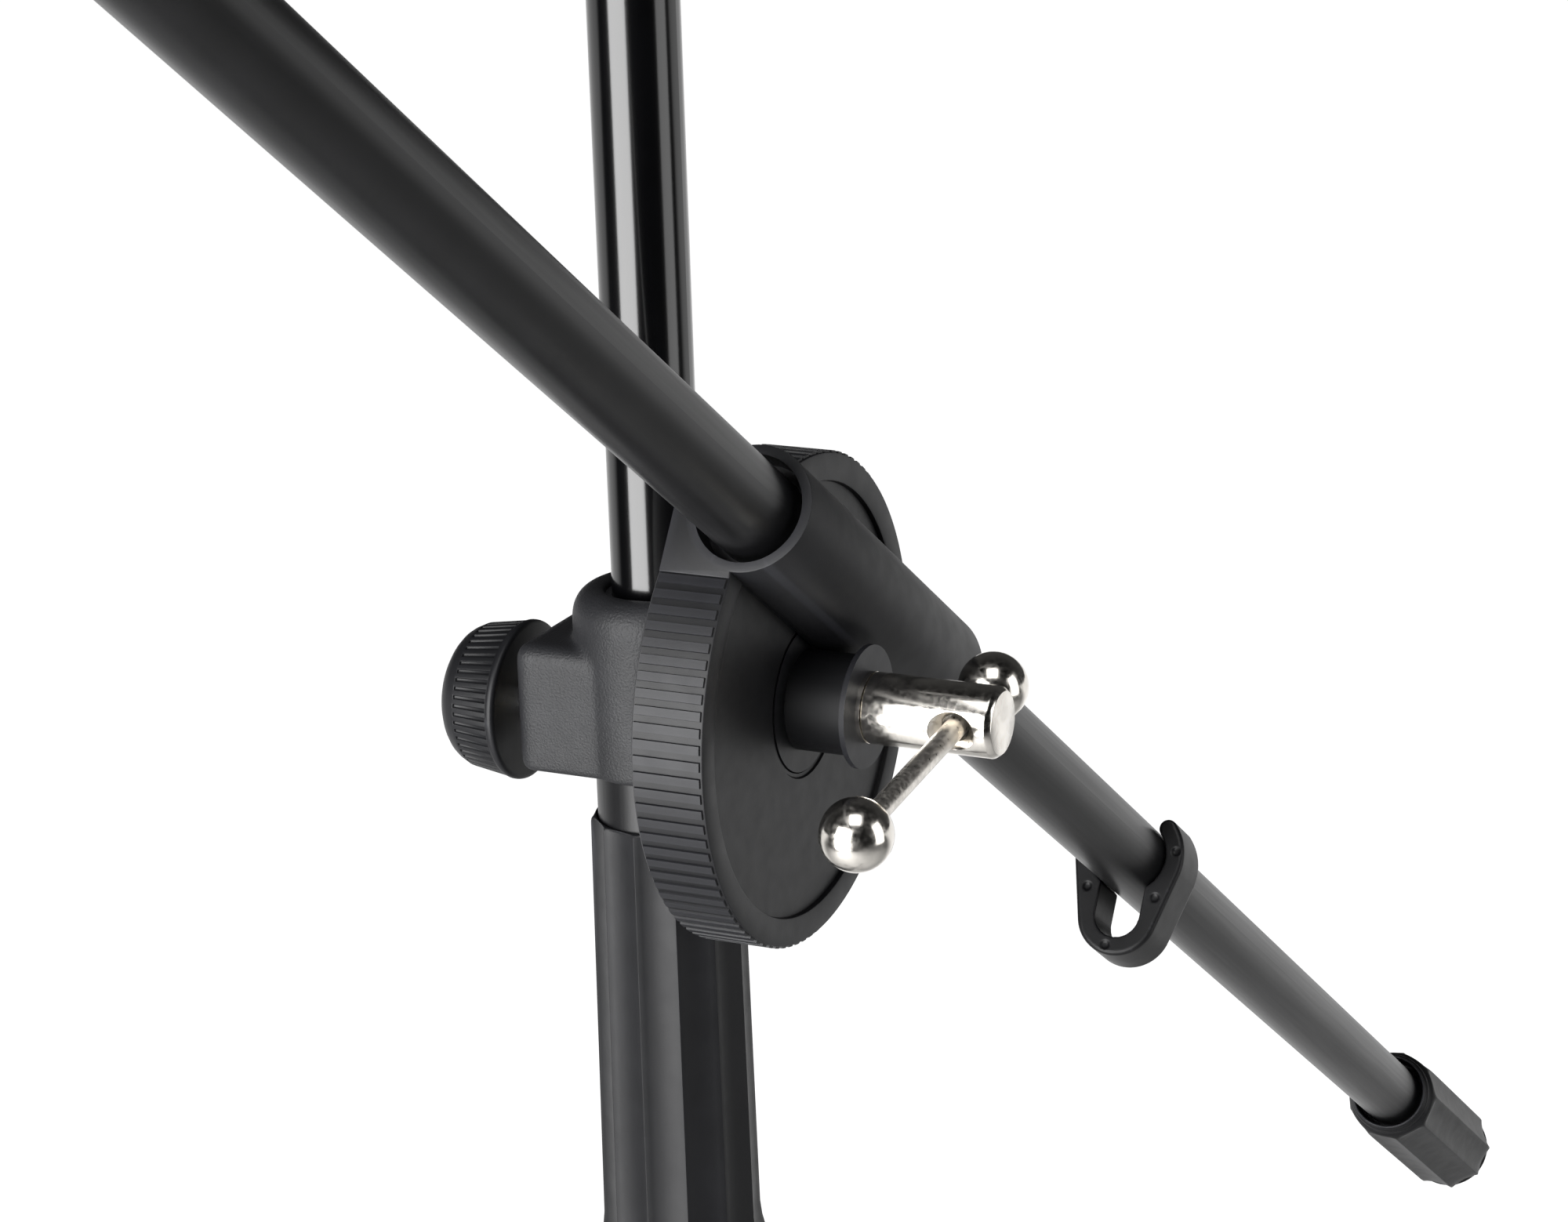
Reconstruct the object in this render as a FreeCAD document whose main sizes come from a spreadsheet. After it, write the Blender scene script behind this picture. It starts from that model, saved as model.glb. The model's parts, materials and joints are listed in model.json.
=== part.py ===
import FreeCAD, Part

import math
import os
import re

import Sketcher
from FreeCAD import Placement, Rotation, Vector

# Boom microphone stand: folding tripod, telescopic mast, clamp head and tilting boom.
# Frame: +Z up, origin on the floor under the mast's axis. The clutch axis runs along +X, the
# boom lies in a plane square to it, and the boom's front end (the microphone end) is towards -Y.
# Lengths are in millimetres.

DIMENSIONS = [
    # tripod
    ("hub_radius", 22.0, "hub casting, round core"),
    ("hub_bottom", 70.0, "floor to the underside of the hub"),
    ("hub_length", 66.0, "height of the hub casting"),
    ("hub_floor", 8.0, "thickness of the hub's closed bottom"),
    ("pivot_radius", 33.0, "mast axis to a leg's hinge pin"),
    ("pivot_height", 97.0, "floor to a leg's hinge pin"),
    ("lug_radius", 11.0, "rounded end of a hub lug"),
    ("lug_inner", 6.4, "leg centre plane to the inside of a lug"),
    ("lug_outer", 12.4, "leg centre plane to the outside of a lug"),
    ("pin_radius", 3.0, "leg hinge pin"),
    ("leg_slope", 15.0, "degrees that a leg falls below level"),
    ("leg_reach", 322.0, "hinge pin to the end of a leg tube"),
    ("leg_tube_radius", 8.0, "leg tube, outside"),
    ("leg_tube_wall", 1.2, "leg tube wall"),
    ("leg_tube_start", 15.0, "hinge pin to the start of the leg tube"),
    ("tongue_half", 6.0, "half thickness of a leg's hinge eye"),
    ("eye_radius", 9.0, "leg hinge eye"),
    ("foot_radius", 10.4, "rubber foot round the leg tube"),
    ("foot_length", 38.0, "rubber foot along the leg tube"),
    ("pad_radius", 11.5, "flat pad under a rubber foot"),
    # mast
    ("lower_radius", 17.5, "lower tube, outside"),
    ("lower_bore", 16.0, "lower tube, inside"),
    ("lower_top", 167.0, "clutch axis down to the top of the lower tube"),
    ("mid_radius", 15.3, "middle tube, outside"),
    ("mid_bore", 13.8, "middle tube, inside"),
    ("mid_length", 664.6, "middle tube"),
    ("rod_radius", 10.0, "upper rod tube, outside"),
    ("rod_bore", 8.5, "upper rod tube, inside"),
    ("rod_length", 716.0, "upper rod tube"),
    ("rod_top", 370.0, "clutch axis up to the top of the rod tube"),
    ("stud_radius", 7.94, "microphone thread, 5/8 inch over the crests"),
    ("stud_length", 22.0, "microphone thread"),
    # twist grip
    ("grip_top", 30.5, "clutch axis down to the top of the twist grip"),
    ("grip_length", 176.0, "twist grip"),
    ("grip_top_radius", 17.0, "twist grip at its top"),
    ("grip_waist_radius", 18.15, "twist grip at the end of its taper"),
    ("grip_base_radius", 21.5, "twist grip round its thread"),
    # clamp head
    ("clutch_height", 1000.0, "floor to the clutch axis"),
    ("clutch_face", 36.7, "mast axis to the front face of the clutch disc"),
    ("housing_bottom", 18.4, "clutch axis down to the housing's flat bottom"),
    ("boss_top", 23.0, "clutch axis up to the top of the mast boss"),
    ("boss_radius", 19.0, "mast boss of the housing"),
    ("arm_reach", 28.0, "mast axis to the end of the knob arm"),
    ("arm_top", 11.0, "clutch axis up to the top of the knob arm"),
    ("arm_half", 17.5, "half width of the knob arm"),
    ("clutch_boss_radius", 18.0, "clutch boss of the housing"),
    ("clutch_boss_end", 17.6, "mast axis to the end of the clutch boss"),
    ("rod_guide_bore", 11.5, "bore of the housing round the rod's bushes"),
    ("knob_drop", 8.0, "clutch axis down to the rod knob's axis"),
    ("knob_start", 33.3, "mast axis to the inner face of the rod knob"),
    ("knob_length", 19.2, "rod knob"),
    ("knob_radius", 18.2, "rod knob over its ribs"),
    ("knob_screw_radius", 4.0, "screw of the rod knob"),
    ("plate_radius", 30.0, "back plate of the clutch"),
    # clutch and boom sleeve
    ("disc_radius", 54.7, "clutch disc"),
    ("disc_width", 16.5, "clutch disc"),
    ("recess_radius", 48.0, "recessed face of the clutch disc"),
    ("recess_depth", 1.2, "recess in the face of the clutch disc"),
    ("plug_bore", 16.4, "hole in the middle of the clutch disc"),
    ("plug_radius", 11.1, "boss of the clamp plug"),
    ("plug_end", 12.5, "disc face to the end of the clamp plug"),
    ("boom_tilt", 34.95, "degrees that the boom's rear end falls below level"),
    ("boom_offset", 25.4, "clutch axis to the boom's axis"),
    ("boom_inset", -0.6, "disc face back to the boom's axis"),
    ("sleeve_radius", 14.2, "boom sleeve, outside"),
    ("sleeve_bore", 12.0, "boom sleeve, inside"),
    ("sleeve_front", 53.8, "boom sleeve ahead of the clutch axis"),
    ("sleeve_rear", 59.9, "boom sleeve behind the clutch axis"),
    ("land_low", 9.8, "clutch axis to the lower edge of the disc's flat land"),
    # clamp screw and tommy bar
    ("washer_radius", 13.6, "washer under the clamp screw"),
    ("washer_thickness", 1.2, "washer under the clamp screw"),
    ("screw_radius", 7.9, "clamp screw's barrel"),
    ("screw_end", 45.0, "disc face to the end of the clamp screw"),
    ("thread_radius", 5.95, "clamp screw's thread"),
    ("bar_station", 36.0, "disc face to the tommy bar's axis"),
    ("bar_radius", 2.4, "tommy bar"),
    ("bar_front", 57.7, "clutch axis to the centre of the front ball"),
    ("bar_rear", 16.8, "clutch axis to the centre of the rear ball"),
    ("bar_drop", 6.2, "degrees that the bar's front end falls below level"),
    ("ball_radius", 7.8, "ball on the tommy bar"),
    # boom
    ("boom_radius", 10.0, "boom tube, outside"),
    ("boom_bore", 8.6, "boom tube, inside"),
    ("boom_front", 645.05, "boom tube ahead of the clutch axis"),
    ("boom_rear", 623.2, "boom tube behind the clutch axis"),
    ("cap_mouth", 533.4, "clutch axis to the mouth of the rear cap"),
    ("cap_end", 631.2, "clutch axis to the end of the rear cap"),
    ("cap_radius", 15.6, "rear cap over its flutes"),
    ("clip_station", 224.0, "clutch axis to the front of the cable clip"),
    ("clip_width", 16.0, "cable clip along the boom"),
    ("clip_bore", 10.3, "cable clip round the boom"),
    ("clip_wall", 5.0, "cable clip"),
    ("clip_drop", 16.6, "boom axis to the centre of the cable loop"),
    ("loop_radius", 6.2, "inside of the cable loop"),
    ("running_gap", 0.05, "radial clearance of a running fit"),
    ("fixed_gap", 0.02, "radial clearance where a fixed piece sits"),
]

doc = FreeCAD.newDocument("boom_stand")
sheet = doc.addObject("Spreadsheet::Sheet", "Dims")
for row, (alias, value, note) in enumerate(DIMENSIONS, start=1):
    sheet.set("A%d" % row, note)
    sheet.set("B%d" % row, str(value))
    sheet.setAlias("B%d" % row, alias)
doc.recompute()

ALIASES = {alias for alias, value, note in DIMENSIONS}
X_AXIS = Vector(1, 0, 0)
Y_AXIS = Vector(0, 1, 0)
Z_AXIS = Vector(0, 0, 1)
NODES = []


def dim(alias):
    """A driving dimension as a number."""
    return float(sheet.get(alias))


def bound(expression):
    """The expression with each alias pointed at the sheet."""
    return re.sub(r"[a-z_]+", lambda word: "Dims." + word[0] if word[0] in ALIASES else word[0],
                  str(expression))


def number(expression):
    """What an expression of aliases comes to now."""
    result = sheet.evalExpression(bound(expression))
    return float(getattr(result, "Value", result))


# ---------------------------------------------------------------- where things stand

def upright(height, x=0.0, y=0.0):
    """Local Z up the mast, at a height above the floor."""
    return Placement(Vector(x, y, height), Rotation())


def across(x, height, direction=1):
    """Local Z along +X (or -X) on a line at a height above the floor."""
    turn = Rotation(Y_AXIS, 90.0 * direction)
    return Placement(Vector(x, 0, height), turn)


def along_boom(station, below=0.0):
    """Local Z along the boom towards its rear end, local X level, local -Y up and square to it."""
    turn = Rotation(X_AXIS, -(90.0 + dim("boom_tilt")))
    centre = Vector(dim("clutch_face") - dim("boom_inset"), 0, dim("clutch_height"))
    local = Vector(0, below - dim("boom_offset"), station)
    return Placement(centre + turn.multVec(local), turn)


def along_bar(station):
    """Local Z along the tommy bar towards its rear ball, from the clamp screw's axis."""
    turn = Rotation(X_AXIS, -(90.0 - dim("bar_drop")))
    centre = Vector(dim("clutch_face") + dim("bar_station"), 0, dim("clutch_height"))
    return Placement(centre + turn.multVec(Vector(0, 0, station)), turn)


def leg_frame(angle):
    """At a leg's hinge pin: local X out along the leg, local Y along the pin."""
    heading = Rotation(Z_AXIS, angle)
    slope = Rotation(Y_AXIS, dim("leg_slope"))
    base = heading.multVec(Vector(dim("pivot_radius"), 0, dim("pivot_height")))
    return Placement(base, heading.multiply(slope))


# ---------------------------------------------------------------- kinds of piece

def node(piece, label):
    """Marks a finished sub-part, whose label is its file's name."""
    piece.Label = label
    NODES.append(piece)
    return piece


def origin_plane(body, role):
    return [item for item in body.Origin.OriginFeatures if item.Role == role][0]


def polygon(sketch, points):
    """A closed outline whose corners are dimensioned from the origin with sheet expressions."""
    corners = [Vector(number(first), number(second), 0) for first, second in points]
    for index, corner in enumerate(corners):
        sketch.addGeometry(Part.LineSegment(corner, corners[(index + 1) % len(corners)]))
    for index, (first, second) in enumerate(points):
        sketch.addConstraint(
            Sketcher.Constraint("Coincident", index, 2, (index + 1) % len(points), 1))
        for kind, expression, size, axis in (("DistanceX", first, corners[index].x, -2),
                                             ("DistanceY", second, corners[index].y, -1)):
            if abs(size) < 1e-9:
                sketch.addConstraint(Sketcher.Constraint("PointOnObject", index, 1, axis))
                continue
            place = sketch.addConstraint(Sketcher.Constraint(kind, -1, 1, index, 1, size))
            sketch.setExpression("Constraints[%d]" % place, bound(expression))


def turned(label, profile, placement):
    """A turned piece: (radius, height) corners spun round the local Z axis."""
    body = doc.addObject("PartDesign::Body", label)
    sketch = body.newObject("Sketcher::SketchObject", label + "_profile")
    sketch.AttachmentSupport = [(origin_plane(body, "XZ_Plane"), "")]
    sketch.MapMode = "FlatFace"
    polygon(sketch, profile)
    spin = body.newObject("PartDesign::Revolution", label + "_spin")
    spin.Profile = sketch
    spin.ReferenceAxis = (sketch, ["V_Axis"])
    spin.Angle = 360.0
    body.Tip = spin
    body.Placement = placement
    return body


def ring(label, inside, outside, length, placement):
    """A plain turned tube or bush."""
    return turned(label, [(inside, "0"), (outside, "0"), (outside, length), (inside, length)],
                  placement)


def cylinder(label, radius, length, placement):
    piece = doc.addObject("Part::Cylinder", label)
    piece.setExpression("Radius", bound(radius))
    piece.setExpression("Height", bound(length))
    piece.Placement = placement
    return piece


def block(label, sizes, corner, placement=Placement()):
    """A box of bound sizes; corner is its lowest corner in the placement's frame."""
    piece = doc.addObject("Part::Box", label)
    for name, expression in zip(("Length", "Width", "Height"), sizes):
        piece.setExpression(name, bound(expression))
    piece.Placement = placement.multiply(Placement(Vector(*corner), Rotation()))
    return piece


def ball(label, radius, placement):
    piece = doc.addObject("Part::Sphere", label)
    piece.setExpression("Radius", bound(radius))
    piece.Placement = placement
    return piece


def fused(label, pieces):
    joined = doc.addObject("Part::MultiFuse", label)
    joined.Shapes = pieces
    joined.Refine = True
    return joined


def cut(label, stock, tools):
    """Stock with tools taken away; several tools are fused first."""
    tool = tools[0] if len(tools) == 1 else fused(label + "_tools", tools)
    remains = doc.addObject("Part::Cut", label)
    remains.Base = stock
    remains.Tool = tool
    return remains


def rounded(label, stock, radius, chosen):
    """Stock with the edges that the test picks rounded."""
    doc.recompute()
    soft = doc.addObject("Part::Fillet", label)
    soft.Base = stock
    soft.Edges = [(index, radius, radius) for index, edge in enumerate(stock.Shape.Edges, start=1)
                  if chosen(edge)]
    return soft


# ---------------------------------------------------------------- tripod

CLUTCH = dim("clutch_height")
LEG_ANGLES = (("rear", 90.0), ("left", 210.0), ("right", 330.0))
PIN_OVERHANG = 0.6


def make_hub():
    bottom = dim("hub_bottom")
    stock = [cylinder("hub_core", "hub_radius", "hub_length", upright(bottom))]
    tools = [
        cylinder("hub_socket", "lower_radius + fixed_gap", "hub_length",
                 upright(bottom + dim("hub_floor"))),
        cylinder("hub_screw_hole", "4.2", "hub_length", upright(bottom - 1)),
    ]
    pins = []
    for name, angle in LEG_ANGLES:
        frame = Placement(Vector(), Rotation(Z_AXIS, angle)).multiply(
            Placement(Vector(dim("pivot_radius"), 0, dim("pivot_height")), Rotation()))
        for side, start in (("a", -dim("lug_outer")), ("b", dim("lug_inner"))):
            lug = frame.multiply(Placement(Vector(0, start, 0), Rotation(X_AXIS, -90)))
            stock.append(cylinder("lug_%s_%s" % (name, side), "lug_radius",
                                  "lug_outer - lug_inner", lug))
            root = (-dim("pivot_radius") + dim("hub_radius") - 6, start, -dim("lug_radius"))
            stock.append(block("lug_root_%s_%s" % (name, side),
                               ("pivot_radius - hub_radius + 6", "lug_outer - lug_inner",
                                "lug_radius * 2"), root, frame))
        through = frame.multiply(Placement(Vector(0, -dim("lug_outer") - 1, 0),
                                           Rotation(X_AXIS, -90)))
        tools.append(cylinder("pin_hole_" + name, "pin_radius + fixed_gap",
                              "lug_outer * 2 + 2", through))
        pin = frame.multiply(Placement(Vector(0, -dim("lug_outer") - PIN_OVERHANG, 0),
                                       Rotation(X_AXIS, -90)))
        pins.append(cylinder("pin_" + name, "pin_radius", "lug_outer * 2 + 1.2", pin))
    node(cut("hub_cut", fused("hub_stock", stock), tools), "tripod_hub")
    group = doc.addObject("Part::Compound", "pins")
    group.Links = pins
    node(group, "leg_hinge_pins")


def make_leg(name, angle):
    frame = leg_frame(angle)
    outward = frame.multiply(Placement(Vector(), Rotation(Y_AXIS, 90)))

    def out(distance):
        return outward.multiply(Placement(Vector(0, 0, distance), Rotation()))

    across_pin = frame.multiply(Placement(Vector(0, -dim("tongue_half"), 0),
                                          Rotation(X_AXIS, -90)))
    eye = cylinder("eye_" + name, "eye_radius", "tongue_half * 2", across_pin)
    neck = block("neck_" + name, ("leg_tube_start", "tongue_half * 2", "12"),
                 (0, -dim("tongue_half"), -6), frame)
    spigot = cylinder("spigot_" + name, "leg_tube_radius - leg_tube_wall - fixed_gap", "40",
                      out(dim("leg_tube_start") - 1))
    hole = cylinder("eye_hole_" + name, "pin_radius + running_gap", "tongue_half * 2 + 2",
                    across_pin.multiply(Placement(Vector(0, 0, -1), Rotation())))
    tongue = cut("tongue_cut_" + name, fused("tongue_stock_" + name, [eye, neck, spigot]), [hole])
    node(tongue, "leg_%s_hinge_eye" % name)

    tube = ring("tube_" + name, "leg_tube_radius - leg_tube_wall", "leg_tube_radius",
                "leg_reach - leg_tube_start", out(dim("leg_tube_start")))
    node(tube, "leg_%s_tube" % name)

    cap_start = dim("leg_reach") - dim("foot_length") + 4
    cap = cylinder("cap_" + name, "foot_radius", "foot_length", out(cap_start))
    socket = cylinder("cap_socket_" + name, "leg_tube_radius + fixed_gap", "foot_length - 4",
                      out(cap_start))
    pad_place = Placement(Vector(), Rotation(Z_AXIS, angle)).multiply(
        Placement(Vector(number("pivot_radius") + 0.96 * number("leg_reach"), 0, 0), Rotation()))
    pad = cylinder("pad_" + name, "pad_radius", "12", pad_place)
    cleared = cylinder("pad_socket_" + name, "leg_tube_radius + fixed_gap", "foot_length - 4",
                       out(cap_start))
    foot = fused("foot_stock_" + name, [cut("cap_cut_" + name, cap, [socket]),
                                        cut("pad_cut_" + name, pad, [cleared])])
    node(foot, "leg_%s_foot" % name)


make_hub()
for leg_name, leg_angle in LEG_ANGLES:
    make_leg(leg_name, leg_angle)

# the lower tube stands on a plug that a screw pulls down on the hub's floor
SOCKET_FLOOR = dim("hub_bottom") + dim("hub_floor")
PLUG_LIFT = 0.5
node(ring("plug", "4.1", "lower_bore - fixed_gap", "24", upright(SOCKET_FLOOR + PLUG_LIFT)),
     "lower_tube_plug")
node(ring("lower", "lower_bore", "lower_radius",
          "clutch_height - lower_top - hub_bottom - hub_floor - 0.5",
          upright(SOCKET_FLOOR + PLUG_LIFT)), "lower_tube")
node(ring("base_washer_ring", "4.2", "9", "1.5", upright(dim("hub_bottom") - 1.6)),
     "base_washer")
node(turned("base_bolt", [("0", "0"), ("6.5", "0"), ("7", "0.6"), ("7", "5.4"), ("4", "5.4"),
                          ("4", "36"), ("3", "37"), ("0", "37")],
            upright(dim("hub_bottom") - 1.7 - 5.4)), "base_screw")

# ---------------------------------------------------------------- mast tubes and twist grip

node(ring("collar", "lower_radius + fixed_gap", "19.2", "30",
          upright(CLUTCH - dim("lower_top") - 32)), "lower_tube_collar")
node(turned("collet_ring", [("mid_radius + running_gap", "0"), ("17.3", "0"), ("17.3", "14"),
                            ("16.2", "22"), ("mid_radius + running_gap", "22")],
            upright(CLUTCH - dim("lower_top") + 0.5)), "grip_collet")
node(turned("grip", [
    ("19.3", "0"), ("grip_base_radius - 1", "0"), ("grip_base_radius", "1.2"),
    ("grip_base_radius", "grip_length - 110"), ("grip_waist_radius", "grip_length - 97"),
    ("grip_top_radius", "1.2 + grip_length - 2.4"), ("grip_top_radius - 1", "grip_length"),
    ("15.7", "grip_length"), ("15.7", "grip_length - 105"), ("17.6", "grip_length - 112"),
    ("17.6", "grip_length - 138"), ("19.3", "grip_length - 138")],
    upright(CLUTCH - dim("grip_top") - dim("grip_length"))), "twist_grip")

node(ring("mid", "mid_bore", "mid_radius", "mid_length",
          upright(CLUTCH - dim("housing_bottom") - 0.05 - dim("mid_length"))), "middle_tube")
node(ring("mid_bush", "mid_radius + fixed_gap", "lower_bore - running_gap", "40",
          upright(CLUTCH - dim("housing_bottom") - dim("mid_length") + 2)), "middle_tube_bush")

node(ring("rod", "rod_bore", "rod_radius", "rod_length",
          upright(CLUTCH + dim("rod_top") - dim("rod_length"))), "rod_tube")
node(turned("rod_plug", [("0", "0"), ("rod_radius - 0.4", "0"), ("rod_radius", "0.8"),
                         ("rod_radius", "4"), ("rod_bore - fixed_gap", "4"),
                         ("rod_bore - fixed_gap", "24"), ("0", "24")],
            upright(CLUTCH + dim("rod_top") - dim("rod_length") - 4.05)), "rod_end_plug")


def stud(label, placement, shank, shoulder):
    """A threaded microphone stud: shank inside the tube, shoulder on its end, thread outside."""
    return turned(label, [
        ("0", "0"), (shank, "0"), (shank, "26"), (shoulder, "26"), (shoulder, "31"),
        ("stud_radius", "31"), ("stud_radius", "31 + stud_length - 1"),
        ("stud_radius - 1", "31 + stud_length"), ("0", "31 + stud_length")], placement)


node(stud("rod_thread", upright(CLUTCH + dim("rod_top") - 25.95),
          "rod_bore - fixed_gap", "rod_radius"), "rod_stud")

# ---------------------------------------------------------------- clamp head


def make_housing():
    bottom = CLUTCH - dim("housing_bottom")
    boss = cylinder("mast_boss", "boss_radius", "housing_bottom + boss_top", upright(bottom))
    boss_top = CLUTCH + dim("boss_top")
    soft_boss = rounded("mast_boss_soft", boss, 5.5, lambda edge: edge.Closed and
                        abs(edge.CenterOfMass.z - boss_top) < 0.1)
    arm = block("arm", ("arm_reach", "arm_half * 2", "housing_bottom + arm_top"),
                (-dim("arm_reach"), -dim("arm_half"), bottom))
    soft_arm = rounded("arm_soft", arm, 3.5, lambda edge: edge.CenterOfMass.x < -1 or
                       edge.CenterOfMass.z > CLUTCH)
    clutch_boss = cylinder("clutch_boss", "clutch_boss_radius", "clutch_boss_end",
                           across(0, CLUTCH))
    spigot = cylinder("spigot", "mid_bore - fixed_gap", "42", upright(bottom - 41.9))
    stock = fused("housing_stock", [soft_boss, soft_arm, clutch_boss, spigot])
    knob_axis = CLUTCH - dim("knob_drop")
    nut_pocket = doc.addObject("Part::Prism", "nut_pocket")
    nut_pocket.Polygon = 6
    nut_pocket.Circumradius = 10.7
    nut_pocket.Height = 8
    nut_pocket.Placement = across(11.9, CLUTCH)
    tools = [
        cylinder("rod_way", "rod_guide_bore", "120", upright(bottom - 60)),
        block("boss_flat", ("10", "60", "60"), (dim("clutch_boss_end"), -30, CLUTCH - 30)),
        cylinder("insert_way", "6.5 + fixed_gap", "11.9",
                 across(-dim("arm_reach") - 1, knob_axis)),
        cylinder("shoe_way", "5.8", "20", across(-dim("arm_reach") + 10.9, knob_axis)),
        nut_pocket,
    ]
    node(cut("housing", stock, tools), "clamp_housing")


make_housing()
node(ring("bush_top", "rod_radius + running_gap", "rod_guide_bore - fixed_gap", "12",
          upright(CLUTCH + dim("boss_top") - 14)), "rod_bush_top")
node(ring("bush_bottom", "rod_radius + running_gap", "rod_guide_bore - fixed_gap", "18",
          upright(CLUTCH - dim("housing_bottom") - 41)), "rod_bush_bottom")
KNOB_AXIS = CLUTCH - dim("knob_drop")
node(ring("insert", "knob_screw_radius + running_gap", "6.5", "10.6",
          across(-dim("arm_reach") + 0.2, KNOB_AXIS)), "knob_insert")
node(ring("plate", "6.3", "plate_radius", "1.8", across(dim("clutch_boss_end") + 0.05, CLUTCH)),
     "clutch_back_plate")
node(ring("friction", "8", "plate_radius - 1", "0.55",
          across(dim("clutch_boss_end") + 1.9, CLUTCH)), "friction_disc")

nut_stock = doc.addObject("Part::Prism", "nut_stock")
nut_stock.Polygon = 6
nut_stock.Circumradius = 10.4
nut_stock.Height = 5.4
nut_stock.Placement = across(12.05, CLUTCH)
node(cut("nut", nut_stock, [cylinder("nut_bore", "thread_radius + running_gap", "8",
                                     across(11, CLUTCH))]), "clutch_nut")

# the rod knob's screw pushes a brake shoe with a hollow end against the rod
shoe_stock = cylinder("shoe_stock", "5.5", "7", across(-15.6, KNOB_AXIS))
shoe_hollow = cylinder("shoe_hollow", "rod_radius + running_gap", "30",
                       upright(KNOB_AXIS - 15))
node(cut("shoe", shoe_stock, [shoe_hollow]), "rod_brake_shoe")
node(turned("knob", [
    ("knob_screw_radius + fixed_gap", "0"), ("knob_radius - 1", "0"), ("knob_radius", "1"),
    ("knob_radius", "2.6"), ("knob_radius - 0.3", "3"), ("knob_radius - 1.7", "11.2"),
    ("knob_radius - 2.6", "13"), ("knob_radius - 4.5", "15"), ("knob_radius - 8.2", "17"),
    ("knob_radius - 13", "knob_length - 0.5"), ("0", "knob_length"), ("0", "12"),
    ("knob_screw_radius + fixed_gap", "12")],
    across(-dim("knob_start"), KNOB_AXIS, -1)), "rod_knob")
node(turned("knob_stem", [("0", "0"), ("3", "0"), ("knob_screw_radius", "1"),
                          ("knob_screw_radius", "29.5"), ("0", "29.5")],
            across(-15.75, KNOB_AXIS, -1)), "rod_knob_screw")

# ---------------------------------------------------------------- clutch disc and boom sleeve

FACE = dim("clutch_face")
OVERCUT = 20.0


def make_clutch():
    back = FACE - dim("disc_width")
    disc = cylinder("disc", "disc_radius", "disc_width", across(back, CLUTCH))
    recess = cylinder("disc_recess", "recess_radius", "recess_depth + 1",
                      across(FACE - dim("recess_depth"), CLUTCH))
    land = block("disc_land", ("disc_width", "boom_offset + sleeve_radius - land_low", "25"),
                 (-dim("disc_width") + dim("boom_inset"), -dim("sleeve_radius"), 0),
                 along_boom(-dim("sleeve_front")))
    plain = cut("disc_cut", fused("disc_and_land", [disc, land]), [recess])
    sleeve = cylinder("sleeve", "sleeve_radius", "sleeve_front + sleeve_rear",
                      along_boom(-dim("sleeve_front")))
    behind = block("behind", ("20", "300", "300"), (back - 20, -150, CLUTCH - 150))
    stock = fused("clutch_stock", [plain, cut("sleeve_cut", sleeve, [behind])])
    tools = [
        cylinder("boom_way", "sleeve_bore", "sleeve_front + sleeve_rear + 40",
                 along_boom(-dim("sleeve_front") - OVERCUT)),
        cylinder("plug_way", "plug_bore", "disc_width - recess_depth + 1",
                 across(back - 1, CLUTCH)),
    ]
    node(cut("clutch", stock, tools), "boom_clutch")


make_clutch()
node(ring("liner_front", "boom_radius + running_gap", "sleeve_bore - fixed_gap", "28",
          along_boom(-dim("sleeve_front") + 7)), "boom_liner_front")
node(ring("liner_rear", "boom_radius + running_gap", "sleeve_bore - fixed_gap", "44",
          along_boom(dim("sleeve_rear") - 51)), "boom_liner_rear")
# the clamp plug's flange is relieved where the boom passes it
plug_body = turned("plug_body", [
    ("thread_radius + running_gap * 2", "0"), ("plug_bore - 0.3", "0"),
    ("plug_bore - 0.3", "disc_width - recess_depth - 0.5"),
    ("plug_radius", "disc_width - recess_depth - 0.5"),
    ("plug_radius", "disc_width + plug_end - 1.1"),
    ("plug_radius - 0.8", "disc_width + plug_end - 0.3"),
    ("thread_radius + running_gap * 2", "disc_width + plug_end - 0.3")],
    across(FACE - dim("disc_width") + 0.3, CLUTCH))
plug_relief = cylinder("plug_relief", "sleeve_bore", "plug_bore * 4",
                       along_boom(-2 * dim("plug_bore")))
node(cut("plug_cut", plug_body, [plug_relief]), "clamp_plug")

# ---------------------------------------------------------------- clamp screw and tommy bar

WASHER_START = FACE + dim("plug_end") + 0.05
node(ring("washer", "thread_radius + running_gap * 2", "washer_radius", "washer_thickness",
          across(WASHER_START, CLUTCH)), "screw_washer")
node(ring("screw_ring", "thread_radius + fixed_gap", "screw_radius", "1.05",
          across(WASHER_START + dim("washer_thickness") + 0.02, CLUTCH)), "screw_collar")

SCREW_TIP = 12.4
SHOULDER = "clutch_face + plug_end + washer_thickness + 1.2 - 12.4"
screw_body = turned("screw_body", [
    ("0", "0"), ("thread_radius - 1", "0"), ("thread_radius", "1"), ("thread_radius", SHOULDER),
    ("screw_radius", SHOULDER), ("screw_radius", "clutch_face + screw_end - 12.4 - 1"),
    ("screw_radius - 0.9", "clutch_face + screw_end - 12.4"),
    ("0", "clutch_face + screw_end - 12.4")], across(SCREW_TIP, CLUTCH))
cross_hole = cylinder("cross_hole", "bar_radius + 0.7", "screw_radius * 4",
                      along_bar(-2 * dim("screw_radius")))
node(cut("screw_cut", screw_body, [cross_hole]), "clamp_screw")

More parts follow.
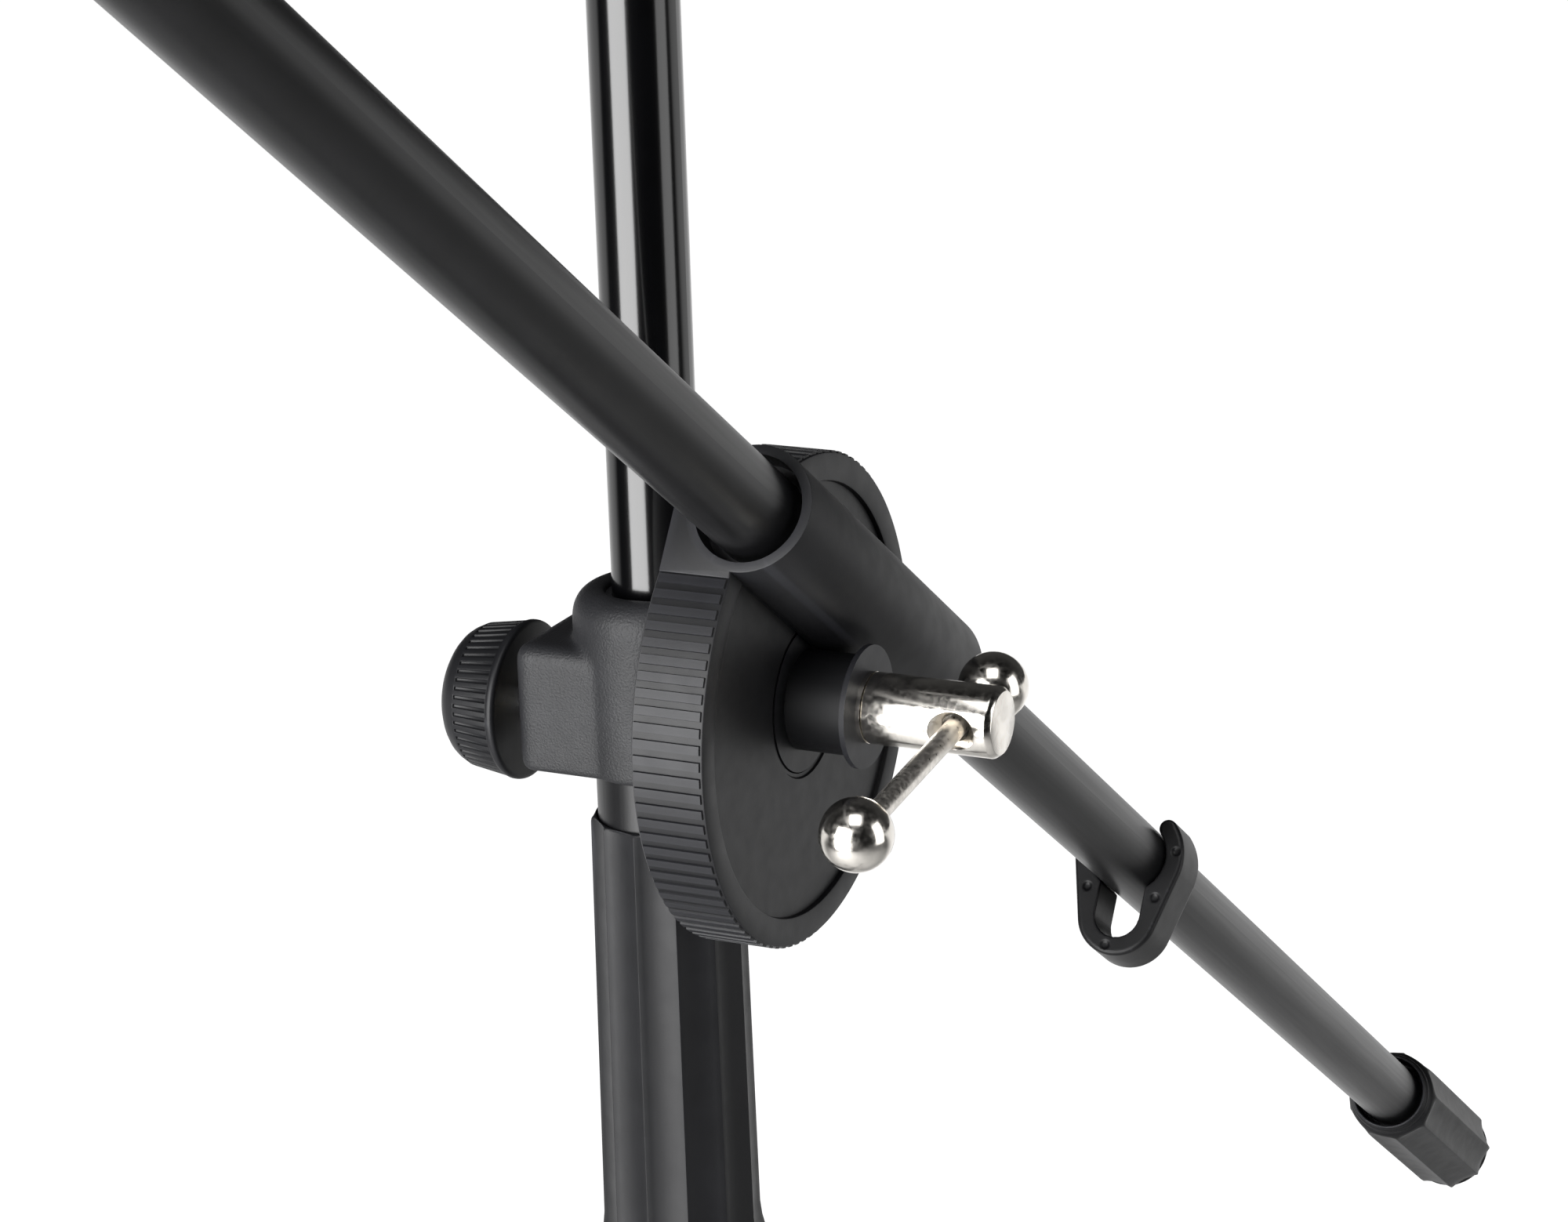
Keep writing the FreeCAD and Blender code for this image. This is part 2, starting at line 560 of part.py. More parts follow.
node(turned("bar", [("0", "0"), ("bar_radius", "0"), ("bar_radius", "bar_front + bar_rear - 8"),
                    ("0", "bar_front + bar_rear - 8")], along_bar(-dim("bar_front") + 4)),
     "tommy_bar")
for ball_name, station, bite in (("front", -dim("bar_front"), 4.0),
                                 ("rear", dim("bar_rear"), -4.0)):
    solid_ball = ball("ball_" + ball_name, "ball_radius", along_bar(station))
    socket_place = along_bar(station + bite - (0.02 if bite > 0 else -0.02))
    if bite < 0:
        socket_place = socket_place.multiply(Placement(Vector(), Rotation(X_AXIS, 180)))
    ball_socket = cylinder("ball_socket_" + ball_name, "bar_radius + fixed_gap", "10",
                           socket_place)
    node(cut("ball_cut_" + ball_name, solid_ball, [ball_socket]), "bar_ball_" + ball_name)

# ---------------------------------------------------------------- boom, rear cap and cable clip

node(ring("boom", "boom_bore", "boom_radius", "boom_front + boom_rear",
          along_boom(-dim("boom_front"))), "boom_tube")
front_end = along_boom(-dim("boom_front") + 25.95)
front_end = front_end.multiply(Placement(Vector(), Rotation(X_AXIS, 180)))
node(stud("boom_thread", front_end, "boom_bore - fixed_gap", "boom_radius"), "boom_stud")
node(turned("cap", [
    ("11.7", "0"), ("12.6", "0"), ("cap_radius - 1", "5.6"), ("cap_radius - 0.4", "7.4"),
    ("cap_radius", "14"), ("cap_radius", "cap_end - cap_mouth - 1"),
    ("cap_radius - 1", "cap_end - cap_mouth"), ("0", "cap_end - cap_mouth"),
    ("0", "boom_rear - cap_mouth + 0.1"),
    ("boom_radius + fixed_gap", "boom_rear - cap_mouth + 0.1"),
    ("boom_radius + fixed_gap", "9"), ("11.7", "9")], along_boom(dim("cap_mouth"))), "rear_cap")


def make_clip():
    """A springy ring open at its top, with a loop for cables hanging under it."""
    place = along_boom(dim("clip_station"))
    lower = Placement(Vector(0, dim("clip_drop"), 0), Rotation())
    big = dim("clip_bore") + dim("clip_wall")
    small = dim("loop_radius") + dim("clip_wall")
    lean = math.asin((big - small) / dim("clip_drop"))
    sides = []
    for sign in (-1, 1):
        outward = Vector(sign * math.cos(lean), math.sin(lean), 0)
        sides.append((outward * big, outward * small + Vector(0, dim("clip_drop"), 0)))
    corners = [sides[0][0], sides[0][1], sides[1][1], sides[1][0]]
    web = doc.addObject("Part::Feature", "clip_web")
    web.Shape = Part.Face(Part.makePolygon(corners + corners[:1])).extrude(
        Vector(0, 0, dim("clip_width")))
    web.Placement = place
    outer = fused("clip_outer", [
        cylinder("clip_round", "clip_bore + clip_wall", "clip_width", place),
        cylinder("clip_loop", "loop_radius + clip_wall", "clip_width", place.multiply(lower)),
        web])
    through = Placement(Vector(0, 0, -5), Rotation())
    mouth = block("clip_mouth", ("16.4", "12", "clip_width + 10"), (-8.2, -18.5, -5), place)
    throat = block("clip_throat", ("loop_radius * 2", "clip_drop", "clip_width + 10"),
                   (-dim("loop_radius"), 0, -5), place)
    tools = [
        cylinder("clip_way", "clip_bore", "clip_width + 10", place.multiply(through)),
        cylinder("loop_way", "loop_radius", "clip_width + 10",
                 place.multiply(lower).multiply(through)),
        throat, mouth]
    node(cut("clip", outer, tools), "cable_clip")


make_clip()

# ---------------------------------------------------------------- check and write

doc.recompute()
for item in doc.Objects:
    if "Invalid" in item.State or "Error" in item.State:
        raise RuntimeError("%s did not compute" % item.Label)
os.makedirs("parts", exist_ok=True)
for piece in NODES:
    shape = piece.Shape
    if shape.isNull() or not shape.isValid() or not shape.Solids:
        raise RuntimeError("%s has no valid solid" % piece.Label)
    shape.exportStep("parts/%s.step" % piece.Label)
    print("%-20s %10.1f mm3  solids %d" % (piece.Label, shape.Volume, len(shape.Solids)))
whole = Part.makeCompound([piece.Shape for piece in NODES]).BoundBox
print("box", [round(side, 2) for side in (whole.XMin, whole.XMax, whole.YMin, whole.YMax,
                                          whole.ZMin, whole.ZMax)])
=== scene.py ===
"""Boom microphone stand: the detailed pieces, finishes and studio round the CAD frame."""

import json
import math

import bmesh
import bpy
from bpy.props import FloatProperty, FloatVectorProperty, IntProperty, PointerProperty
from mathutils import Matrix, Vector

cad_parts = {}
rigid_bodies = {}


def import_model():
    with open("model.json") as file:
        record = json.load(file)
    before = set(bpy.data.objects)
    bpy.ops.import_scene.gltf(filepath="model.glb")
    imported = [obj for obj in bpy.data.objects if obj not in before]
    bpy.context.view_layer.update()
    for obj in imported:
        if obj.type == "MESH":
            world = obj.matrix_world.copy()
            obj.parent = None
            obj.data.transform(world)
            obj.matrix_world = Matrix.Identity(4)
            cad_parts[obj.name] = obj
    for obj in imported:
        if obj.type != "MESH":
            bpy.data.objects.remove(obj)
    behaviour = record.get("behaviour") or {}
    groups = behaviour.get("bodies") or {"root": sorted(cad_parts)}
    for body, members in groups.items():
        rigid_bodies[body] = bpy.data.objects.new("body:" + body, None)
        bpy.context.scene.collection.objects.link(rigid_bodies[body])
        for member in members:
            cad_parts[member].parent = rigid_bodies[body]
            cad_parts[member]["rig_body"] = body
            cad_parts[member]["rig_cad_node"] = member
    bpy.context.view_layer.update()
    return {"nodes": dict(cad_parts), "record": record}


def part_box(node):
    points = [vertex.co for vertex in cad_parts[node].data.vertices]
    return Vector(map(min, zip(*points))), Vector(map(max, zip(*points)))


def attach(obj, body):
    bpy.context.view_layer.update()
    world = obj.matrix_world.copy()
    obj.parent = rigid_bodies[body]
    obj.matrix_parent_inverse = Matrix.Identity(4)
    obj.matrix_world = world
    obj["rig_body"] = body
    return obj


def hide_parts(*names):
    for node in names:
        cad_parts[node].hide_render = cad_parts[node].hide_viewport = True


bl_info = {
    "name": "Boom microphone stand",
    "version": (1, 0, 0),
    "blender": (4, 5, 0),
    "location": "View3D > Sidebar > Boom stand",
    "description": "Detailed pieces and finishes for a boom microphone stand",
    "category": "Object",
}

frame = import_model()
MM = 0.001


def middle(node):
    """The middle of a CAD node's box."""
    low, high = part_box(node)
    return (low + high) / 2


CLUTCH_AXIS = middle("clutch_back_plate")
CLUTCH_AXIS.x = 0.0
DISC_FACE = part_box("boom_clutch")[0].x + 16.5 * MM
HOUSING_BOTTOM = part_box("middle_tube")[1].z
GRIP_LOW, GRIP_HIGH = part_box("twist_grip")
KNOB_LOW, KNOB_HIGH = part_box("rod_knob")
SCREW_LOW, SCREW_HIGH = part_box("clamp_screw")


# ------------------------------------------------------------------ sizes and colours


def length(name, description, millimetres):
    return FloatProperty(name=name, description=description, default=millimetres * MM,
                         unit="LENGTH", precision=5)


def turn(name, description, degrees):
    return FloatProperty(name=name, description=description, default=math.radians(degrees),
                         subtype="ANGLE")


def paint(name, description, colour):
    return FloatVectorProperty(name=name, description=description, default=colour,
                               subtype="COLOR", size=3, min=0.0, max=1.0)


class ClutchSizes(bpy.types.PropertyGroup):
    disc_radius: length("Disc radius", "Clutch disc over its ribs", 54.7)
    disc_width: length("Disc width", "Clutch disc along its axis", 16.5)
    ribs: IntProperty(name="Ribs", description="Ribs round the clutch disc", default=96)
    groove_depth: length("Groove depth", "Depth of the grooves between the ribs", 0.5)
    recess_radius: length("Recess radius", "Recessed face of the disc", 48.0)
    recess_depth: length("Recess depth", "Depth of the recessed face", 1.2)
    plug_radius: length("Plug hole", "Hole for the clamp plug", 16.4)
    sleeve_radius: length("Sleeve radius", "Boom sleeve, outside", 14.2)
    sleeve_bore: length("Sleeve bore", "Boom sleeve, inside", 12.0)
    sleeve_front: length("Sleeve front", "Sleeve ahead of the clutch axis", 53.8)
    sleeve_rear: length("Sleeve rear", "Sleeve behind the clutch axis", 59.9)
    land_low: length("Land low", "Clutch axis to the lower edge of the flat land", 9.8)


class HeadSizes(bpy.types.PropertyGroup):
    boss_radius: length("Boss radius", "Mast boss of the housing", 19.0)
    boss_top: length("Boss top", "Clutch axis up to the top of the mast boss", 23.0)
    arm_reach: length("Arm reach", "Mast axis to the end of the knob arm", 28.0)
    arm_top: length("Arm top", "Clutch axis up to the top of the knob arm", 11.0)
    arm_half: length("Arm half width", "Half width of the knob arm", 17.5)
    knob_radius: length("Knob radius", "Rod knob over its flange", 18.2)
    knob_ribs: IntProperty(name="Knob ribs", description="Ribs round the rod knob", default=52)
    knob_drop: length("Knob drop", "Clutch axis down to the knob's axis", 8.0)
    barrel_radius: length("Screw barrel", "Clamp screw's barrel", 7.9)
    bar_station: length("Bar station", "Disc face to the tommy bar's axis", 36.0)
    bar_drop: turn("Bar drop", "How far the bar's front end falls", 6.2)
    ball_radius: length("Ball radius", "Balls on the tommy bar", 7.8)


class BoomSizes(bpy.types.PropertyGroup):
    tilt: turn("Boom tilt", "How far the boom's rear end falls", 34.95)
    offset: length("Boom offset", "Clutch axis to the boom's axis", 25.4)
    inset: length("Boom inset", "Disc face back to the boom's axis", -0.6)
    cap_mouth: length("Cap mouth", "Clutch axis to the rear cap", 533.4)
    cap_length: length("Cap length", "Rear cap", 97.8)
    cap_radius: length("Cap radius", "Rear cap over its ridges", 15.6)
    cap_flutes: IntProperty(name="Cap flutes", description="Flutes round the cap", default=9)
    cap_turn: turn("Cap turn", "How far round the cap's first ridge stands", 6.0)
    clip_station: length("Clip station", "Clutch axis to the cable clip", 224.0)
    clip_width: length("Clip width", "Cable clip along the boom", 16.0)
    clip_bore: length("Clip bore", "Cable clip round the boom", 10.3)
    clip_wall: length("Clip wall", "Cable clip", 5.0)
    clip_mouth: turn("Clip mouth", "Opening of the cable clip round the boom", 93.2)
    clip_drop: length("Clip drop", "Boom axis to the cable loop", 16.6)
    loop_radius: length("Loop radius", "Inside of the cable loop", 6.2)


class MastSizes(bpy.types.PropertyGroup):
    grip_flutes: IntProperty(name="Grip flutes", description="Flutes round the twist grip",
                             default=12)
    flute_depth: length("Flute depth", "Depth of the twist grip's flutes", 1.25)
    first_ridge: turn("First ridge", "Where the twist grip's first ridge stands", 1.0)
    thread_radius: length("Stud radius", "Microphone thread over its crests", 7.94)
    thread_pitch: length("Stud pitch", "Microphone thread", 0.94)


class TripodSizes(bpy.types.PropertyGroup):
    pivot_radius: length("Pivot radius", "Mast axis to a leg's hinge", 33.0)
    pivot_height: length("Pivot height", "Floor to a leg's hinge", 97.0)
    slope: turn("Leg slope", "How far a leg falls below level", 15.0)
    reach: length("Leg reach", "Hinge to the end of a leg tube", 322.0)
    foot_length: length("Foot length", "Rubber foot along the leg", 38.0)
    foot_radius: length("Foot radius", "Rubber foot", 10.4)
    pad_radius: length("Pad radius", "Flat pad under a rubber foot", 11.5)


class FinishColours(bpy.types.PropertyGroup):
    gloss_black: paint("Gloss black", "Lacquered upper rod", (0.001, 0.001, 0.0012))
    satin_black: paint("Satin black", "Coated tubes", (0.0035, 0.0035, 0.004))
    moulded_black: paint("Moulded black", "Clutch, knob and grip", (0.0045, 0.0046, 0.0055))
    textured_black: paint("Textured black", "Clamp housing", (0.0095, 0.0097, 0.011))
    cast_black: paint("Cast black", "Tripod hub and hinge eyes", (0.009, 0.009, 0.01))
    clip_grey: paint("Clip grey", "Cable clip", (0.004, 0.004, 0.0046))
    nickel: paint("Nickel", "Clamp screw, bar, balls and studs", (0.80, 0.765, 0.71))
    zinc: paint("Zinc", "Pins, washer and screw of the tripod", (0.62, 0.63, 0.64))
    brass: paint("Brass", "Threaded insert", (0.72, 0.56, 0.28))
    rubber: paint("Rubber", "Feet", (0.01, 0.01, 0.01))
    nylon: paint("Nylon", "Bushes and liners", (0.008, 0.008, 0.009))
    fibre: paint("Fibre", "Friction disc", (0.20, 0.13, 0.07))


class StudioSettings(bpy.types.PropertyGroup):
    azimuth: turn("Azimuth", "Camera round the stand, from its front", 25.4)
    elevation: turn("Elevation", "Camera above the horizon", 17.42)
    roll: turn("Roll", "Camera about its line of sight", -1.77)
    distance: length("Distance", "Camera to the clutch disc's face", 856.0)
    aim_right: length("Aim right", "How far right of the view's middle the clutch stands", 5.97)
    aim_down: length("Aim down", "How far below the view's middle the clutch stands", 19.416)
    lens: FloatProperty(name="Lens", description="Focal length", default=90.07, min=20.0,
                        unit="CAMERA")
    floor: paint("Floor", "Studio floor", (0.6, 0.6, 0.6))


# ------------------------------------------------------------------ hand tools


def put_down():
    """Leaves edit mode and lets go of everything."""
    held = bpy.context.object
    if held is not None and held.mode == "EDIT":
        bpy.ops.object.mode_set(mode="OBJECT")
    bpy.ops.object.select_all(action="DESELECT")


def pick_up(piece):
    put_down()
    piece.select_set(True)
    bpy.context.view_layer.objects.active = piece


def open_up(piece, kind="VERT"):
    """Edit mode on a piece, choosing vertices, edges or faces."""
    pick_up(piece)
    bpy.ops.object.mode_set(mode="EDIT")
    bpy.ops.mesh.select_mode(type=kind)


def new_piece(name):
    """The primitive just added, named and with its place in its mesh."""
    piece = bpy.context.object
    piece.name = name
    piece.data.name = name
    bpy.ops.object.transform_apply(location=True, rotation=True, scale=True)
    return piece


def choose(piece, kind, test):
    """Selects the vertices, edges or faces that pass a test; edit mode must be on."""
    bpy.ops.mesh.select_all(action="DESELECT")
    mesh = bmesh.from_edit_mesh(piece.data)
    count = 0
    for item in getattr(mesh, kind):
        if test(item):
            item.select_set(True)
            count += 1
    bmesh.update_edit_mesh(piece.data)
    return count


def turned(name, outline, corners):
    """A ring drawn out from one (radius, height) corner of a turned outline to the next.

    An outline that starts or ends on the axis is closed there; any other closes on itself."""
    put_down()
    outline = [(radius * MM, height * MM) for radius, height in outline]
    first_pole = outline[0] if outline[0][0] == 0 else None
    last_pole = outline[-1] if outline[-1][0] == 0 else None
    rings = [corner for corner in outline if corner[0] > 0]
    radius, height = rings[0]
    bpy.ops.mesh.primitive_circle_add(vertices=corners, radius=radius, fill_type="NOTHING",
                                      location=(0, 0, height))
    piece = new_piece(name)
    open_up(piece, "EDGE")
    bpy.ops.mesh.select_all(action="SELECT")
    for next_radius, next_height in rings[1:]:
        bpy.ops.mesh.extrude_region_move(
            TRANSFORM_OT_translate={"value": (0, 0, next_height - height)})
        if abs(next_radius - radius) > 1e-9:
            spread = next_radius / radius
            bpy.ops.transform.resize(value=(spread, spread, 1),
                                     center_override=(0, 0, next_height))
        radius, height = next_radius, next_height
    if last_pole:
        close_on_axis(last_pole[1] - height)
    if first_pole:
        choose(piece, "edges", lambda edge: edge.is_boundary)
        close_on_axis(first_pole[1] - rings[0][1])
    if not first_pole and not last_pole:
        choose(piece, "edges", lambda edge: edge.is_boundary)
        bpy.ops.mesh.bridge_edge_loops()
    face_outwards(piece)
    return piece


def close_on_axis(rise):
    """Draws the selected ring along the axis and gathers it in one point."""
    bpy.ops.mesh.extrude_region_move(TRANSFORM_OT_translate={"value": (0, 0, rise)})
    bpy.ops.mesh.merge(type="CENTER")


def face_outwards(piece):
    """Merges doubles and turns every face outwards, then leaves edit mode."""
    open_up(piece)
    bpy.ops.mesh.select_all(action="SELECT")
    bpy.ops.mesh.remove_doubles(threshold=1e-6)
    bpy.ops.mesh.normals_make_consistent(inside=False)
    put_down()


def place(piece, matrix):
    """Moves a piece to its place and writes the place into its mesh."""
    pick_up(piece)
    piece.matrix_world = matrix
    bpy.ops.object.transform_apply(location=True, rotation=True, scale=True)
    return piece


def work(piece, kind, **settings):
    """Adds a modifier and applies it."""
    pick_up(piece)
    bpy.ops.object.modifier_add(type=kind)
    modifier = piece.modifiers[-1]
    for name, value in settings.items():
        setattr(modifier, name, value)
    bpy.ops.object.modifier_apply(modifier=modifier.name)
    return piece


def bevelled(piece, width, segments=2, angle=30.0):
    return work(piece, "BEVEL", width=width * MM, segments=segments, limit_method="ANGLE",
                angle_limit=math.radians(angle), harden_normals=False)


def combine(piece, tool, operation):
    """Joins a tool on to a piece, or cuts it out of it, and removes the tool."""
    work(piece, "BOOLEAN", operation=operation, solver="EXACT", object=tool)
    bpy.data.objects.remove(tool, do_unlink=True)
    return piece


def softened(piece, grain, passes):
    """Remeshes a rough assembly and smooths it, as a casting's rounded corners."""
    work(piece, "REMESH", mode="VOXEL", voxel_size=grain * MM, adaptivity=0.0)
    work(piece, "SMOOTH", factor=0.5, iterations=passes)
    return piece


def smooth_skin(piece, angle=35.0):
    pick_up(piece)
    bpy.ops.object.shade_smooth_by_angle(angle=math.radians(angle))
    put_down()
    return piece


def drum(name, radius, low, high, corners=96):
    """A plain cylinder along local Z, as stock or as a cutter."""
    put_down()
    bpy.ops.mesh.primitive_cylinder_add(vertices=corners, radius=radius * MM,
                                        depth=(high - low) * MM,
                                        location=(0, 0, (high + low) / 2 * MM))
    return new_piece(name)


def slab(name, low, high):
    """A box between two corners in millimetres, as stock or as a cutter."""
    put_down()
    low, high = Vector(low) * MM, Vector(high) * MM
    bpy.ops.mesh.primitive_cube_add(size=1.0, location=(low + high) / 2)
    bpy.context.object.scale = high - low
    return new_piece(name)


def pick_band(piece, low, high, count, faces, picked):
    """Picks, in a band round local Z, the first faces of each of a number of periods."""

    def in_band(face):
        centre = face.calc_center_median()
        if not low * MM < centre.z < high * MM or abs(face.normal.z) > 0.5:
            return False
        if face.normal.dot(Vector((centre.x, centre.y, 0))) < 0:
            return False
        share = math.atan2(centre.y, centre.x) % math.tau / math.tau
        return int(share * count * faces) % faces < picked

    open_up(piece, "FACE")
    choose(piece, "faces", in_band)


def notch(piece, low, high, count, inset, depth):
    """Sinks every other face of a band round the local Z axis."""
    pick_band(piece, low, high, count, 2, 1)
    bpy.ops.mesh.inset(thickness=inset * MM, depth=-depth * MM, use_individual=True)
    put_down()


def raise_ribs(piece, low, high, count, inset, depth):
    """Raises three faces in five of a band round the local Z axis."""
    pick_band(piece, low, high, count, 5, 3)
    bpy.ops.mesh.inset(thickness=inset * MM, depth=depth * MM, use_individual=False)
    put_down()


def scallop(piece, flutes, per_flute, depth, fade):
    """Draws hollow flutes in a turned piece, one angular step at a time.

    The ridges stay where they were, and fade says how much of the depth each height gets."""
    open_up(piece)
    corners = flutes * per_flute
    heights = {}
    for vertex in bmesh.from_edit_mesh(piece.data).verts:
        reach = math.hypot(vertex.co.x, vertex.co.y)
        if reach > 1e-6:
            heights.setdefault((round(vertex.co.z, 6), round(reach, 6)), reach)
    for (height, _), reach in heights.items():
        share = fade(height / MM, reach / MM)
        if share <= 0:
            continue
        for step in range(1, per_flute):
            hollow = math.sin(math.pi * step / per_flute) ** 0.75

            def on_step(vertex):
                if abs(vertex.co.z - height) > 2e-6:
                    return False
                if abs(math.hypot(vertex.co.x, vertex.co.y) - reach) > 2e-6:
                    return False
                place_round = math.atan2(vertex.co.y, vertex.co.x) / math.tau * corners
                return round(place_round) % per_flute == step

            choose(piece, "verts", on_step)
            spread = 1 - depth * share * hollow / reach
            bpy.ops.transform.resize(value=(spread, spread, 1),
                                     center_override=(0, 0, height))
    put_down()


def along_x(x, z, turned_back=False):
    """Local Z along +X, or along -X, at a height."""
    spin = Matrix.Rotation(math.radians(-90 if turned_back else 90), 4, "Y")
    return Matrix.Translation((x, 0, z)) @ spin


def along_boom(sizes, station):
    """Local Z along the boom towards its rear end, local -Y up and square to it."""
    spin = Matrix.Rotation(-(math.radians(90) + sizes.tilt), 4, "X")
    start = Vector((DISC_FACE - sizes.inset, 0, CLUTCH_AXIS.z))
    shift = spin.to_3x3() @ Vector((0, -sizes.offset, station))
    return Matrix.Translation(start + shift) @ spin


def along_bar(sizes, station=0.0):
    """Local Z along the tommy bar towards its rear ball."""
    spin = Matrix.Rotation(-(math.radians(90) - sizes.bar_drop), 4, "X")
    start = Vector((DISC_FACE + sizes.bar_station, 0, CLUTCH_AXIS.z))
    return Matrix.Translation(start + spin.to_3x3() @ Vector((0, 0, station))) @ spin


def finished(piece, body, slot, *nodes, angle=35.0):
    """Skin, finish, body and the CAD nodes that a piece stands for."""
    smooth_skin(piece, angle)
    piece.data.materials.clear()
    piece.data.materials.append(FINISHES[slot])
    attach(piece, body)
    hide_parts(*nodes)
    return piece


# ------------------------------------------------------------------ finishes

FINISHES = {}


class FinishTree:
    """A node material built up layer by layer on Object coordinates."""

    def __init__(self, name, colour, roughness, metallic=0.0, sheen=0.5):
        self.material = bpy.data.materials.new(name)
        self.material.use_nodes = True
        self.tree = self.material.node_tree
        self.shader = self.tree.nodes["Principled BSDF"]
        self.shader.inputs["Base Color"].default_value = (*colour, 1)
        self.shader.inputs["Roughness"].default_value = roughness
        self.shader.inputs["Metallic"].default_value = metallic
        self.shader.inputs["Specular IOR Level"].default_value = sheen
        self.place = self.add("ShaderNodeTexCoord").outputs["Object"]
        self.normal = None

    def add(self, kind, **settings):
        item = self.tree.nodes.new(kind)
        for name, value in settings.items():
            setattr(item, name, value)
        return item

    def link(self, output, target):
        self.tree.links.new(output, target)

    def stretched(self, scale, rotation=(0, 0, 0), location=(0, 0, 0)):
        mapping = self.add("ShaderNodeMapping", vector_type="TEXTURE")
        mapping.inputs["Scale"].default_value = scale
        mapping.inputs["Rotation"].default_value = rotation
        mapping.inputs["Location"].default_value = location
        self.link(self.place, mapping.inputs["Vector"])
        return mapping.outputs["Vector"]

    def noise(self, size, detail=3.0, vector=None):
        """Noise whose blotches are about that size in millimetres."""
        noise = self.add("ShaderNodeTexNoise")
        noise.inputs["Scale"].default_value = 1.0 / (size * MM)
        noise.inputs["Detail"].default_value = detail
        self.link(vector or self.place, noise.inputs["Vector"])
        return noise.outputs["Fac"]

    def spread(self, value, low, high, start=0.3, end=0.7):
        """A value taken from one range to another."""
        spread = self.add("ShaderNodeMapRange")
        spread.inputs["From Min"].default_value = start
        spread.inputs["From Max"].default_value = end
        spread.inputs["To Min"].default_value = low
        spread.inputs["To Max"].default_value = high
        self.link(value, spread.inputs["Value"])
        return spread.outputs["Result"]

    def tint(self, value, first, second):
        """Base colour between two colours."""
        ramp = self.add("ShaderNodeValToRGB")
        ramp.color_ramp.elements[0].position = 0.35
        ramp.color_ramp.elements[1].position = 0.65
        ramp.color_ramp.elements[0].color = (*first, 1)
        ramp.color_ramp.elements[1].color = (*second, 1)
        self.link(value, ramp.inputs["Fac"])
        self.link(ramp.outputs["Color"], self.shader.inputs["Base Color"])
        return ramp.outputs["Color"]

    def rough(self, value):
        self.link(value, self.shader.inputs["Roughness"])

    def bump(self, value, depth, strength=1.0):
        """One more layer of relief, depth in millimetres."""
        bump = self.add("ShaderNodeBump")
        bump.inputs["Distance"].default_value = depth * MM
        bump.inputs["Strength"].default_value = strength
        self.link(value, bump.inputs["Height"])
        if self.normal:
            self.link(self.normal, bump.inputs["Normal"])
        self.normal = bump.outputs["Normal"]
        self.link(self.normal, self.shader.inputs["Normal"])

    def edge_highlight_and_wear(self, colour, share):
        """Lightens the raised edges a little: a painted highlight along them, with a little wear.
        """
        geometry = self.add("ShaderNodeNewGeometry")
        edge = self.spread(geometry.outputs["Pointiness"], 0.0, share, 0.52, 0.62)
        mix = self.add("ShaderNodeMix", data_type="RGBA")
        self.link(edge, mix.inputs["Factor"])
        target = self.shader.inputs["Base Color"]
        if target.is_linked:
            self.link(target.links[0].from_socket, mix.inputs["A"])
        else:
            mix.inputs["A"].default_value = target.default_value
        mix.inputs["B"].default_value = (*colour, 1)
        self.link(mix.outputs["Result"], target)


def lighter(colour, times):
    return tuple(min(1.0, part * times) for part in colour)


def make_coated_tube(name, colour, roughness, drawn, rotation=(0, 0, 0), sheen=0.3):
    """Coated steel tube: faint streaks along its length, a fine orange peel and broad blotches of
    tone.
    """
    finish = FinishTree(name, colour, roughness, sheen=sheen)
    streaks = finish.noise(1.0, 2.0, finish.stretched((1, 1, drawn), rotation))
    blotches = finish.noise(14.0, 4.0)
    finish.tint(blotches, lighter(colour, 0.85), lighter(colour, 1.25))
    finish.rough(finish.spread(streaks, roughness * 0.94, roughness * 1.07))
    finish.bump(finish.noise(1.6, 3.0), 0.004, 0.4)
    finish.bump(streaks, 0.002, 0.3)
    return finish.material


def make_moulded(name, colour, roughness, grain, depth, edges):
    """Moulded plastic: fine grain, flow marks and raised edges lightened as a painted highlight
    with slight burnishing.
    """
    finish = FinishTree(name, colour, roughness, sheen=0.28)
    flow = finish.noise(18.0, 5.0)
    finish.tint(flow, lighter(colour, 0.82), lighter(colour, 1.22))
    finish.rough(finish.spread(finish.noise(5.0, 4.0), roughness * 0.95, roughness * 1.06))
    finish.bump(finish.noise(grain, 2.0), depth, 1.0)
    finish.bump(finish.noise(grain * 5, 3.0), depth * 0.8, 0.3)
    # painted highlight on the raised edges, with slight burnishing
    finish.edge_highlight_and_wear(lighter(colour, 7.0), edges)
    return finish.material


def make_plated(name, colour, roughness, rings):
    """Plated steel: bright, with faint tarnish, fine scratches and turning marks."""
    finish = FinishTree(name, colour, roughness, 1.0)
    tarnish = finish.noise(3.2, 6.0)
    finish.tint(tarnish, lighter(colour, 0.86), lighter(colour, 1.06))
    finish.rough(finish.spread(finish.noise(1.1, 5.0), roughness * 0.7, roughness * 1.5))
    scratches = finish.noise(0.5, 2.0, finish.stretched((9, 1, 1), (0.3, 0.2, 0.5)))
    finish.bump(scratches, 0.0025, 0.5)
    if rings:
        marks = finish.add("ShaderNodeTexWave", wave_type="RINGS", rings_direction="X")
        marks.inputs["Scale"].default_value = 620.0
        marks.inputs["Distortion"].default_value = 1.6
        marks.inputs["Detail"].default_value = 2.0
        centre = finish.stretched((1, 1, 1), (0, 0, 0), (0, 0, CLUTCH_AXIS.z))
        finish.link(centre, marks.inputs["Vector"])
        finish.bump(marks.outputs["Fac"], 0.012, 0.5)
    return finish.material


